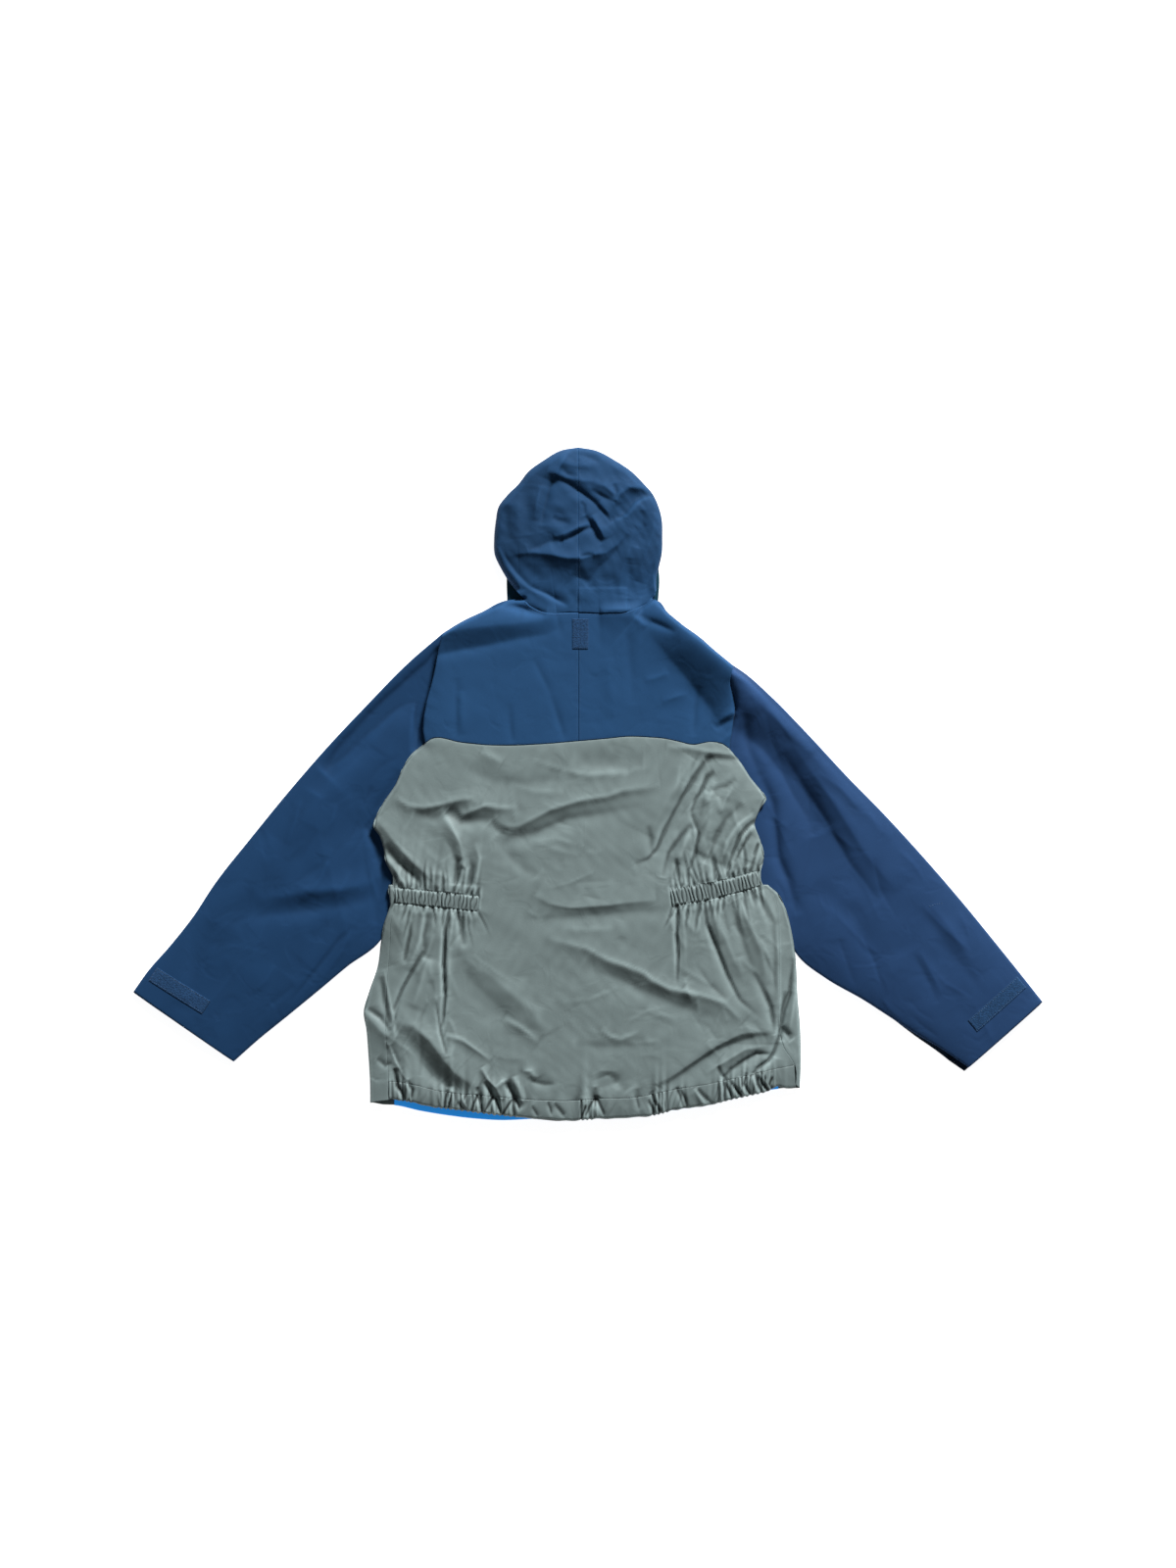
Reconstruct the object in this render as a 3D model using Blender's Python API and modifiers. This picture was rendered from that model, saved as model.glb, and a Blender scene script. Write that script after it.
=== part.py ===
"""Hooded pullover anorak, laid flat on its front with its back up.

The frame is in metres. +X runs along the spread sleeves, +Y from the hem to the hood and +Z up out
of the back. Z = 0 is the surface that the front lies on. Each cut piece is a wall of cloth of its
own, made from a grid of points worked out from its outline, its height and its largest folds.
"""

import bpy
import numpy as np

# Driving dimensions, in metres
CLOTH = 0.0012            # wall of cloth, with its seam allowances
SEAM_GAP = 0.0004         # between the walls that meet at a seam
TRIM_GAP = 0.0004         # between a panel and what is stitched on it
FRONT_TOP = CLOTH         # upper side of the front, which lies on the surface
FOLD_EDGE = 0.0028        # height of the outermost line of a folded edge
BODY_LOFT = 0.0115        # how far the back stands up inside its edges
BODY_LOFT_REACH = 0.045   # how far in from an edge it takes to rise
EDGE_ROLL = 0.0035        # radius of the roll at an edge of the body
HEM_DEPTH = 0.025         # depth of the hem casing
TAPE_THICK = 0.0018       # loop tape
RIM_DEPTH = 0.020         # how far the edge of the hood turns under
EDGE_SAMPLES = 200        # points taken on an edge to look up its y at any x

# Outlines, seen from above: each row is a point (x, y)
SHOULDER_LEFT = ((-0.218, 0.228), (-0.192, 0.244), (-0.159, 0.260), (-0.122, 0.277), (-0.096, 0.279))
SHOULDER_RIGHT = ((0.100, 0.279), (0.107, 0.276), (0.121, 0.259), (0.144, 0.240), (0.169, 0.222),
                  (0.193, 0.201), (0.220, 0.179))
NECK_SEAM = ((-0.096, 0.279), (-0.087, 0.269), (-0.069, 0.260), (-0.029, 0.258), (-0.014, 0.258),
             (0.030, 0.257), (0.058, 0.259), (0.082, 0.269), (0.100, 0.279))
ARMHOLE_LEFT = ((-0.218, 0.228), (-0.226, 0.200), (-0.231, 0.173), (-0.236, 0.152), (-0.243, 0.127),
                (-0.248, 0.101), (-0.249, 0.077), (-0.246, 0.060), (-0.252, 0.000), (-0.262, -0.060),
                (-0.2735, -0.120))
ARMHOLE_RIGHT = ((0.220, 0.179), (0.215, 0.152), (0.220, 0.130), (0.223, 0.114), (0.220, 0.089),
                 (0.215, 0.052), (0.222, 0.000), (0.230, -0.050), (0.240, -0.105))
YOKE_SEAM = ((-0.246, 0.060), (-0.236, 0.067), (-0.189, 0.062), (-0.147, 0.058), (-0.110, 0.058),
             (-0.064, 0.060), (-0.017, 0.064), (0.030, 0.068), (0.061, 0.071), (0.092, 0.070),
             (0.116, 0.068), (0.135, 0.064), (0.158, 0.059), (0.186, 0.063), (0.201, 0.061),
             (0.215, 0.052))
HEM_SEAM = ((-0.300, -0.448), (-0.272, -0.451), (-0.221, -0.463), (-0.162, -0.469), (-0.106, -0.474),
            (-0.027, -0.477), (0.018, -0.474), (0.072, -0.472), (0.131, -0.460), (0.186, -0.451),
            (0.233, -0.441), (0.275, -0.431), (0.3125, -0.424))
HEM_EDGE = ((-0.300, -0.480), (-0.288, -0.478), (-0.236, -0.487), (-0.187, -0.493), (-0.131, -0.500),
            (-0.090, -0.504), (-0.032, -0.508), (0.001, -0.506), (0.066, -0.503), (0.098, -0.500),
            (0.131, -0.492), (0.186, -0.484), (0.218, -0.476), (0.275, -0.464), (0.3145, -0.4585))
FRONT_HEM_EDGE = ((-0.3245, -0.484), (-0.291, -0.4845), (-0.252, -0.493), (-0.209, -0.500),
                  (-0.166, -0.505), (-0.131, -0.507), (-0.080, -0.505), (-0.032, -0.504),
                  (0.066, -0.500), (0.186, -0.481), (0.240, -0.468), (0.275, -0.4615),
                  (0.3165, -0.457))

# The body's sides: y, then the folded side's x, the side seam's x, the x where the front leaves
# the surface and the height of the folded side. Above the underarm the fold lies on the sleeve,
# and the seam and the floor columns no longer matter.
SIDE_LEFT = (
    (-0.485, -0.3280, -0.3000, -0.3245, 0.0032),
    (-0.448, -0.3285, -0.3000, -0.3250, 0.0032),
    (-0.407, -0.3310, -0.3020, -0.3275, 0.0032),
    (-0.370, -0.3340, -0.3040, -0.3305, 0.0032),
    (-0.345, -0.3380, -0.3050, -0.3340, 0.0032),
    (-0.311, -0.3290, -0.3030, -0.3250, 0.0032),
    (-0.274, -0.3165, -0.3000, -0.3125, 0.0034),
    (-0.240, -0.3120, -0.2975, -0.3050, 0.0050),
    (-0.207, -0.3060, -0.2960, -0.2880, 0.0088),
    (-0.184, -0.2980, -0.2910, -0.2800, 0.0095),
    (-0.154, -0.3000, -0.2935, -0.2705, 0.0095),
    (-0.139, -0.2950, -0.2940, -0.2660, 0.0095),
    (-0.121, -0.3030, -0.3030, -0.2600, 0.0095),
    (-0.092, -0.3090, -0.3090, -0.2600, 0.0095),
    (-0.078, -0.3140, -0.3140, -0.2600, 0.0095),
    (-0.067, -0.3220, -0.3220, -0.2600, 0.0095),
    (-0.050, -0.3190, -0.3190, -0.2600, 0.0095),
    (-0.030, -0.3090, -0.3090, -0.2600, 0.0095),
    (0.000, -0.2890, -0.2890, -0.2600, 0.0095),
    (0.025, -0.2780, -0.2780, -0.2600, 0.0095),
    (0.048, -0.2620, -0.2620, -0.2600, 0.0093),
    (0.060, -0.2460, -0.2460, -0.2460, 0.0092),
)
SIDE_RIGHT = (
    (-0.460, 0.3205, 0.3145, 0.3165, 0.0032),
    (-0.424, 0.3220, 0.3125, 0.3185, 0.0032),
    (-0.397, 0.3220, 0.2960, 0.3185, 0.0032),
    (-0.367, 0.3210, 0.2890, 0.3175, 0.0032),
    (-0.318, 0.3170, 0.2890, 0.3135, 0.0032),
    (-0.275, 0.3150, 0.2890, 0.3110, 0.0034),
    (-0.255, 0.3130, 0.2890, 0.3020, 0.0050),
    (-0.215, 0.3060, 0.2885, 0.2760, 0.0088),
    (-0.184, 0.2970, 0.2860, 0.2600, 0.0095),
    (-0.164, 0.2860, 0.2780, 0.2510, 0.0095),
    (-0.151, 0.2710, 0.2640, 0.2440, 0.0095),
    (-0.135, 0.2630, 0.2610, 0.2380, 0.0095),
    (-0.111, 0.2660, 0.2660, 0.2300, 0.0095),
    (-0.086, 0.2610, 0.2610, 0.2300, 0.0095),
    (-0.059, 0.2520, 0.2520, 0.2300, 0.0095),
    (-0.038, 0.2600, 0.2600, 0.2300, 0.0095),
    (-0.021, 0.2690, 0.2690, 0.2300, 0.0095),
    (-0.009, 0.2610, 0.2610, 0.2300, 0.0095),
    (0.009, 0.2460, 0.2460, 0.2300, 0.0095),
    (0.031, 0.2320, 0.2320, 0.2300, 0.0094),
    (0.052, 0.2150, 0.2150, 0.2150, 0.0092),
)

# The sleeves' folded edges, from the armhole to the cuff
SLEEVE_LEFT_OUTER = ((-0.218, 0.228), (-0.267, 0.186), (-0.337, 0.115), (-0.387, 0.062),
                     (-0.449, -0.009), (-0.507, -0.080), (-0.563, -0.151), (-0.596, -0.201),
                     (-0.630, -0.244), (-0.664, -0.283), (-0.686, -0.314))
SLEEVE_LEFT_INNER = ((-0.2735, -0.120), (-0.280, -0.150), (-0.2895, -0.186), (-0.2985, -0.215),
                     (-0.3165, -0.241), (-0.362, -0.275), (-0.399, -0.306), (-0.455, -0.352),
                     (-0.497, -0.386), (-0.534, -0.419))
SLEEVE_RIGHT_OUTER = ((0.220, 0.179), (0.235, 0.169), (0.276, 0.133), (0.328, 0.080), (0.394, 0.009),
                      (0.446, -0.044), (0.511, -0.115), (0.572, -0.186), (0.616, -0.240),
                      (0.653, -0.286), (0.687, -0.329))
SLEEVE_RIGHT_INNER = ((0.240, -0.105), (0.2535, -0.150), (0.2705, -0.186), (0.2865, -0.215),
                      (0.308, -0.246), (0.3195, -0.262), (0.359, -0.293), (0.418, -0.327),
                      (0.455, -0.351), (0.495, -0.377), (0.534, -0.400), (0.562, -0.419),
                      (0.575, -0.428))

# The hood's outline, from each end of the neck seam up to the crown
HOOD_LEFT = ((-0.109, 0.293), (-0.121, 0.309), (-0.131, 0.326), (-0.140, 0.346), (-0.141, 0.370),
             (-0.138, 0.400), (-0.135, 0.417), (-0.122, 0.435), (-0.104, 0.453), (-0.090, 0.471),
             (-0.067, 0.488), (-0.041, 0.503), (-0.014, 0.508))
HOOD_RIGHT = ((0.104, 0.293), (0.104, 0.311), (0.108, 0.328), (0.112, 0.346), (0.113, 0.373),
              (0.112, 0.400), (0.107, 0.419), (0.098, 0.438), (0.085, 0.453), (0.067, 0.471),
              (0.042, 0.488), (0.013, 0.503), (-0.014, 0.508))
CENTRE_X = -0.014         # the seam down the middle of the hood and the yoke

# Folds: height of the crest (less than 0 for a trough), half width, how much wider it is on the
# left of its line than on the right, and the line that it follows
BODY_FOLDS = (
    (0.0060, 0.016, 0.3, ((-0.132, -0.062), (-0.081, -0.052), (-0.010, -0.024), (0.051, -0.010),
                          (0.098, -0.003))),
    (-0.0045, 0.012, 0.0, ((-0.146, -0.062), (-0.116, -0.079), (-0.081, -0.072), (-0.033, -0.050),
                           (0.030, -0.042), (0.092, -0.030))),
    (0.0045, 0.011, 0.2, ((-0.292, -0.018), (-0.245, -0.036), (-0.198, -0.025), (-0.167, -0.027))),
    (-0.0045, 0.010, 0.0, ((-0.205, -0.044), (-0.175, -0.055), (-0.150, -0.050))),
    (0.0045, 0.010, 0.0, ((-0.218, -0.041), (-0.192, -0.089), (-0.183, -0.133))),
    (0.0045, 0.011, 0.0, ((-0.300, -0.065), (-0.269, -0.112), (-0.226, -0.149))),
    (-0.0050, 0.010, 0.0, ((-0.290, -0.105), (-0.272, -0.130), (-0.252, -0.154))),
    (0.0045, 0.014, 0.2, ((-0.069, -0.173), (-0.033, -0.185), (0.030, -0.182), (0.098, -0.176))),
    (-0.0040, 0.012, 0.0, ((-0.092, -0.204), (-0.033, -0.204), (0.030, -0.198), (0.122, -0.194))),
    (0.0050, 0.013, 0.2, ((-0.201, -0.238), (-0.174, -0.268), (-0.140, -0.290), (-0.104, -0.321),
                          (-0.078, -0.343), (-0.066, -0.371))),
    (-0.0050, 0.013, 0.0, ((-0.198, -0.258), (-0.174, -0.298), (-0.140, -0.331), (-0.104, -0.359),
                           (-0.069, -0.378))),
    (0.0060, 0.013, 0.3, ((-0.047, -0.237), (-0.001, -0.249), (0.030, -0.265), (0.084, -0.284),
                          (0.122, -0.308), (0.171, -0.318), (0.226, -0.352))),
    (-0.0045, 0.014, 0.0, ((0.007, -0.264), (0.030, -0.288), (0.066, -0.295), (0.118, -0.333),
                           (0.138, -0.352), (0.195, -0.368))),
    (0.0050, 0.013, 0.2, ((0.101, -0.448), (0.155, -0.425), (0.230, -0.386), (0.272, -0.378))),
    (-0.0050, 0.011, 0.0, ((0.130, -0.452), (0.175, -0.431), (0.225, -0.408), (0.270, -0.398))),
    (-0.0070, 0.008, 0.0, ((-0.211, -0.200), (-0.215, -0.225), (-0.217, -0.272), (-0.215, -0.320),
                           (-0.218, -0.357))),
    (-0.0060, 0.008, 0.0, ((0.137, -0.192), (0.134, -0.237), (0.135, -0.296))),
    (-0.0060, 0.009, 0.0, ((0.177, -0.190), (0.183, -0.209), (0.198, -0.244), (0.218, -0.290),
                           (0.233, -0.324))),
    (-0.0060, 0.008, 0.0, ((0.206, -0.188), (0.226, -0.215), (0.242, -0.249), (0.270, -0.329),
                           (0.276, -0.371))),
    (-0.0080, 0.016, 0.4, ((-0.285, -0.366), (-0.261, -0.370), (-0.240, -0.392), (-0.221, -0.422),
                           (-0.198, -0.442))),
    (0.0050, 0.010, 0.0, ((-0.318, -0.349), (-0.285, -0.382), (-0.240, -0.425))),
    (-0.0060, 0.010, 0.0, ((0.187, 0.035), (0.164, 0.012), (0.146, -0.018), (0.131, -0.043),
                           (0.116, -0.071), (0.098, -0.111), (0.075, -0.121))),
    (-0.0050, 0.009, 0.0, ((0.190, 0.021), (0.168, -0.013), (0.174, -0.060), (0.162, -0.108),
                           (0.152, -0.138))),
    (-0.0050, 0.009, 0.0, ((0.238, -0.034), (0.192, -0.105), (0.186, -0.134))),
    (0.0045, 0.010, 0.0, ((0.232, -0.010), (0.212, -0.052), (0.206, -0.110))),
)
YOKE_FOLDS = (
    (0.0060, 0.016, 0.5, ((0.125, 0.185), (0.160, 0.141), (0.192, 0.084))),
    (-0.0070, 0.022, 0.0, ((0.112, 0.222), (0.160, 0.190), (0.195, 0.145), (0.204, 0.105))),
    (-0.0050, 0.013, 0.0, ((-0.205, 0.221), (-0.147, 0.219), (-0.064, 0.235))),
    (0.0035, 0.012, 0.0, ((-0.177, 0.241), (-0.118, 0.257), (-0.070, 0.250))),
)
SLEEVE_FOLDS = (
    (-0.0040, 0.016, 0.0, ((-0.245, 0.190), (-0.300, 0.135), (-0.341, 0.088))),
    (-0.0040, 0.026, 0.0, ((0.262, 0.110), (0.300, 0.030), (0.330, -0.060))),
    (-0.0030, 0.020, 0.0, ((0.420, -0.090), (0.470, -0.180), (0.500, -0.260))),
    (-0.0030, 0.020, 0.0, ((-0.400, -0.050), (-0.440, -0.150), (-0.450, -0.240))),
)
HOOD_FOLDS = (
    (-0.0085, 0.015, 0.0, ((-0.045, 0.462), (-0.005, 0.450), (0.013, 0.429), (0.029, 0.400))),
    (-0.0050, 0.014, 0.0, ((-0.046, 0.450), (-0.055, 0.430), (-0.064, 0.400))),
    (-0.0070, 0.014, 0.0, ((0.032, 0.413), (0.069, 0.440), (0.090, 0.437))),
    (-0.0060, 0.014, 0.0, ((0.020, 0.369), (0.000, 0.390), (-0.020, 0.374), (-0.069, 0.361))),
    (-0.0100, 0.017, 0.0, ((-0.104, 0.350), (-0.039, 0.323), (-0.001, 0.308), (0.044, 0.358),
                           (0.069, 0.385))),
    (0.0060, 0.015, 0.0, ((-0.120, 0.365), (-0.091, 0.305))),
)

# Gathers along the hem: x, and how many gathers lie to the left of it
HEM_GATHERS = ((-0.300, 0.0), (-0.289, 1.0), (-0.265, 5.0), (-0.226, 7.0), (-0.205, 10.0),
               (-0.187, 12.0), (-0.106, 22.0), (-0.012, 25.0), (0.008, 28.0), (0.096, 31.0),
               (0.122, 35.0), (0.195, 39.0), (0.283, 50.0), (0.3145, 52.0))
HEM_WAVE = 0.0016
POINTS_PER_WAVE = 3

# Elastic casings at the waist: corners along the top and the bottom, and the number of gathers
ELASTIC = {
    "waist_elastic_left": (((-0.2925, -0.155), (-0.227, -0.161), (-0.161, -0.167)),
                           ((-0.2905, -0.180), (-0.235, -0.186), (-0.164, -0.194)), 20),
    "waist_elastic_right": (((0.122, -0.154), (0.195, -0.145), (0.233, -0.136), (0.258, -0.129)),
                            ((0.127, -0.188), (0.174, -0.179), (0.211, -0.169), (0.261, -0.154)), 24),
}
ELASTIC_THICK = 0.0030

# Loop tape: four corners, from the upper left round to the right
TAPES = {
    "cuff_tape_left": ((-0.649, -0.2765), (-0.568, -0.327), (-0.581, -0.347), (-0.662, -0.2965)),
    "cuff_tape_right": ((0.573, -0.357), (0.648, -0.290), (0.662, -0.307), (0.587, -0.374)),
    "neck_patch": ((-0.023, 0.249), (0.001, 0.249), (0.001, 0.203), (-0.023, 0.203)),
}

COLOURS = {
    "navy": ((0.021, 0.065, 0.158), 0.72),
    "navy_shade": ((0.004, 0.012, 0.027), 0.80),
    "navy_tape": ((0.026, 0.080, 0.170), 0.92),
    "grey_green": ((0.178, 0.223, 0.223), 0.62),
    "bright_blue": ((0.020, 0.225, 0.640), 0.60),
}


def clear_scene():
    """Remove the objects that the scene starts with."""
    for obj in list(bpy.data.objects):
        bpy.data.objects.remove(obj, do_unlink=True)


def new_collection(name):
    """A collection of its own under the scene."""
    collection = bpy.data.collections.new(name)
    bpy.context.scene.collection.children.link(collection)
    return collection


def cloth_material(name):
    """A Principled material with the cloth's colour and roughness."""
    colour, roughness = COLOURS[name]
    material = bpy.data.materials.get(name)
    if material is None:
        material = bpy.data.materials.new(name)
        material.use_nodes = True
        shader = material.node_tree.nodes["Principled BSDF"]
        shader.inputs["Base Color"].default_value = (*colour, 1.0)
        shader.inputs["Roughness"].default_value = roughness
        shader.inputs["Metallic"].default_value = 0.0
    return material


def between(low, high, share):
    """The value that lies the given share of the way from low to high."""
    return low + (high - low) * share


def smooth_rows(keys, rows, at):
    """A smooth curve through rows of numbers: a cubic between neighbours, whose slope at each
    row is the one that its neighbours give it."""
    keys = np.asarray(keys, float)
    rows = np.asarray(rows, float)
    at = np.asarray(at, float)
    slopes = np.gradient(rows, keys, axis=0)
    first = np.clip(np.searchsorted(keys, at) - 1, 0, len(keys) - 2)
    span = keys[first + 1] - keys[first]
    t = (at - keys[first]) / span
    shape = at.shape + (1,) * (rows.ndim - 1)
    t, span = t.reshape(shape), span.reshape(shape)
    rise = rows[first + 1] - rows[first]
    bend_in = slopes[first] * span - rise
    bend_out = rise - slopes[first + 1] * span
    return rows[first] + rise * t + t * (1 - t) * (bend_in * (1 - t) + bend_out * t)


def length_shares(line):
    """How far along a line each of its points lies, from 0 to 1."""
    steps = np.linalg.norm(np.diff(np.asarray(line, float)[:, :2], axis=0), axis=1)
    return np.concatenate(([0.0], np.cumsum(steps))) / steps.sum()


def line_points(line, shares):
    """Points on a smooth line, at the given shares of its length."""
    return smooth_rows(length_shares(line), line, shares)


def straight_points(line, shares):
    """Points on a line of straight pieces, at the given shares of its length."""
    line = np.asarray(line, float)
    known = length_shares(line)
    return np.stack([np.interp(shares, known, line[:, axis]) for axis in (0, 1)], axis=-1)


def side_column(table, y, column):
    """One column of a side's table at the heights y, smooth between its rows."""
    rows = np.asarray(table, float)
    return smooth_rows(rows[:, 0], rows[:, column], np.clip(y, rows[0, 0], rows[-1, 0]))


def measure_from(line, x, y):
    """Distance of each point from a line of straight pieces, the share of the line where the
    nearest point lies, and the side: +1 on the left of the line, -1 on its right."""
    line = np.asarray(line, float)[:, :2]
    shares = length_shares(line)
    best = np.full(np.shape(x), np.inf)
    run = np.zeros(np.shape(x))
    side = np.ones(np.shape(x))
    for start, end, low, high in zip(line[:-1], line[1:], shares[:-1], shares[1:]):
        step = end - start
        t = ((x - start[0]) * step[0] + (y - start[1]) * step[1]) / (step @ step)
        t = np.clip(t, 0.0, 1.0)
        away = np.hypot(x - start[0] - t * step[0], y - start[1] - t * step[1])
        cross = step[0] * (y - start[1]) - step[1] * (x - start[0])
        nearer = away < best
        best = np.where(nearer, away, best)
        run = np.where(nearer, between(low, high, t), run)
        side = np.where(nearer, np.where(cross < 0, -1.0, 1.0), side)
    return best, run, side


def fold_height(folds, x, y):
    """Sum of the folds: each is a bell across its line, lower towards the line's two ends."""
    total = np.zeros(np.shape(x))
    for crest, width, lean, line in folds:
        away, run, side = measure_from(line, x, y)
        reach = width * np.where(side > 0, 1 + lean, 1 - lean)
        ends = np.clip(4 * run * (1 - run), 0, 1) ** 0.5
        total += crest * (0.25 + 0.75 * ends) * np.exp(-(away / reach) ** 2)
    return total


def rolled(away, radius):
    """A quarter round: 0 at the edge, 1 from the radius inwards."""
    inside = 1 - np.clip(away / radius, 0, 1)
    return np.sqrt(np.clip(1 - inside ** 2, 0, 1))


def edge_rise(away, rim):
    """Height at a distance from an edge: its rim, a small roll and then the slow rise."""
    return rim + EDGE_ROLL * rolled(away, EDGE_ROLL) + BODY_LOFT * (1 - np.exp(-away / BODY_LOFT_REACH))


def softest_low(heights, blend=0.0012):
    """The lowest of several heights, with the change from one to the next rounded off."""
    stack = np.stack(heights)
    lowest = stack.min(axis=0)
    return lowest - blend * np.log(np.exp(-(stack - lowest) / blend).sum(axis=0))


SIDE_LINE_LEFT = tuple((row[1], row[0]) for row in SIDE_LEFT) + ARMHOLE_LEFT[6::-1]
SIDE_LINE_RIGHT = tuple((row[1], row[0]) for row in SIDE_RIGHT) + ARMHOLE_RIGHT[4::-1]
SHOULDER_RIM = FRONT_TOP + SEAM_GAP + CLOTH
HEM_RIM = 0.0115
BODY_CROWN = 0.004        # extra height in the middle of the back
CROWN_MIDDLE = (0.0, -0.15)
CROWN_REACH = (0.20, 0.25)
FOLDS_FROM = 0.0095       # the folds grow from this height of the back ...
FOLDS_FULL = 0.0155       # ... and are whole from this height on
LOWEST_FOLD = 0.0097      # no trough of the back goes below this


def back_height(x, y):
    """Height of the outside of the back: it rises from the folded sides, the shoulders and the
    hem's edge to one broad crown, and the largest folds stand on it."""
    heights = []
    for line, table in ((SIDE_LINE_LEFT, SIDE_LEFT), (SIDE_LINE_RIGHT, SIDE_RIGHT)):
        away, _, _ = measure_from(line, x, y)
        rim = side_column(table, y, 4)
        heights.append(edge_rise(away, rim))
    for line in (SHOULDER_LEFT, SHOULDER_RIGHT):
        away, _, _ = measure_from(line, x, y)
        heights.append(edge_rise(away, SHOULDER_RIM))
    away, _, _ = measure_from(HEM_EDGE, x, y)
    heights.append(edge_rise(away, HEM_RIM))
    plain = softest_low(heights)
    share = np.clip((plain - FOLDS_FROM) / (FOLDS_FULL - FOLDS_FROM), 0.0, 1.0)
    off_x = (x - CROWN_MIDDLE[0]) / CROWN_REACH[0]
    off_y = (y - CROWN_MIDDLE[1]) / CROWN_REACH[1]
    crown = BODY_CROWN * np.exp(-(off_x ** 2 + off_y ** 2)) * share
    for top, bottom, _ in ELASTIC.values():
        middle = (np.array(top) + np.array(bottom)) / 2
        away, _, _ = measure_from(middle, x, y)
        share = share * np.clip((away - HEM_DEPTH / 2) / HEM_DEPTH, 0.0, 1.0)
    folds = fold_height(BODY_FOLDS + YOKE_FOLDS, x, y) * share
    return np.maximum(plain + crown + folds, np.minimum(plain, LOWEST_FOLD))


def panel_plan(low, high, left, right, across, up):
    """Plan of a panel between four edges. Each point is the mean of the two straight spans
    through it, side to side and end to end, less the one between the corners."""
    u, v = np.broadcast_arrays(across, up)
    u, v = u[..., None], v[..., None]
    sides = between(left(v[..., 0]), right(v[..., 0]), u)
    ends = between(low(across), high(across), v)
    corners = between(between(low(0.0), low(1.0), u), between(high(0.0), high(1.0), u), v)
    return sides + ends - corners


def with_height(plan, height):
    """Plan points (x, y) with their heights as z."""
    return np.dstack((plan, np.broadcast_to(height, plan.shape[:2])))


def grid_object(name, points, material, collection, ring=False, flip=False):
    """A mesh of four-sided faces over a grid of points: rows of equal length, which close into
    rings if asked. The faces look up, or outwards, unless they are flipped."""
    rows, columns = points.shape[:2]
    mesh = bpy.data.meshes.new(name)
    faces = []
    for row in range(rows - 1):
        for column in range(columns if ring else columns - 1):
            after = (column + 1) % columns
            face = (row * columns + column, row * columns + after,
                    (row + 1) * columns + after, (row + 1) * columns + column)
            faces.append(face[::-1] if flip else face)
    mesh.from_pydata([tuple(point) for point in points.reshape(-1, 3)], [], faces)
    mesh.update()
    mesh.shade_smooth()
    mesh.set_sharp_from_angle(angle=0.9)
    obj = bpy.data.objects.new(name, mesh)
    obj.data.materials.append(cloth_material(material))
    collection.objects.link(obj)
    return obj


def give_wall(obj, thickness=CLOTH, side=-1.0):
    """Turn an open surface into a wall, inwards for side -1 and outwards for +1."""
    wall = obj.modifiers.new("wall", "SOLIDIFY")
    wall.thickness = thickness
    wall.offset = side
    return wall


def cut_with(obj, cutter):
    """Take a cutter's shape away from an object."""
    cut = obj.modifiers.new("cut", "BOOLEAN")
    cut.operation = "DIFFERENCE"
    cut.object = cutter


def side_cutters(collection):
    """Two blocks, which take away all that lies left or right of the middle seam."""
    cutters = {}
    for name, direction in (("left", -1.0), ("right", 1.0)):
        bpy.ops.mesh.primitive_cube_add(size=1.0)
        cutter = bpy.context.object
        cutter.name = "take_" + name
        cutter.scale = (0.5, 1.0, 0.4)
        cutter.location = (CENTRE_X + direction * (0.25 - SEAM_GAP / 2), 0.2, 0.0)
        for old in list(cutter.users_collection):
            old.objects.unlink(cutter)
        collection.objects.link(cutter)
        cutter.display_type = "WIRE"
        cutter.hide_render = True
        cutters[name] = cutter
    return cutters


# The back's columns, closest at the sides, and its rows, closest beside the seams
SIDE_SHARE = 0.24
COLUMNS = np.concatenate((np.linspace(0, SIDE_SHARE, 16), np.linspace(SIDE_SHARE, 0.5, 8)[1:],
                          np.linspace(0.5, 1 - SIDE_SHARE, 8)[1:], np.linspace(1 - SIDE_SHARE, 1, 16)[1:]))
MIDDLE = len(COLUMNS) // 2
BACK_SPLIT = 0.572
BELOW_SPLIT = np.concatenate(([0.0, 0.008], np.linspace(0.035, BACK_SPLIT, 14)))
BACK_ROWS = np.concatenate((BELOW_SPLIT, np.linspace(BACK_SPLIT, 0.97, 9)[1:], [0.992, 1.0]))
SPLIT_ROW = len(BELOW_SPLIT) - 1
YOKE_ROWS = np.array((0.0, 0.02, 0.14, 0.28, 0.43, 0.58, 0.72, 0.86, 0.98, 1.0))
NECK_COLUMN = 17          # the column that ends at the corner of the neck and the shoulder
YOKE_SPANS_LEFT = 7       # spans of the left armhole's outline that the yoke meets
YOKE_SPANS_RIGHT = 5


def side_line(table):
    """Plan of the back's own edge at one side: the side seam, then the fold over the sleeve."""
    low, high = table[1][0], table[-1][0]

    def points(share):
        y = between(low, high, np.asarray(share, float))
        return np.stack((side_column(table, y, 2), y), axis=-1)
    return points


def back_points():
    """The grid of the back body, from the hem seam up to the yoke seam."""
    plan = panel_plan(lambda u: line_points(HEM_SEAM, u), lambda u: line_points(YOKE_SEAM, u),
                      side_line(SIDE_LEFT), side_line(SIDE_RIGHT), COLUMNS[None, :], BACK_ROWS[:, None])
    return with_height(plan, back_height(plan[..., 0], plan[..., 1]))


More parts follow.
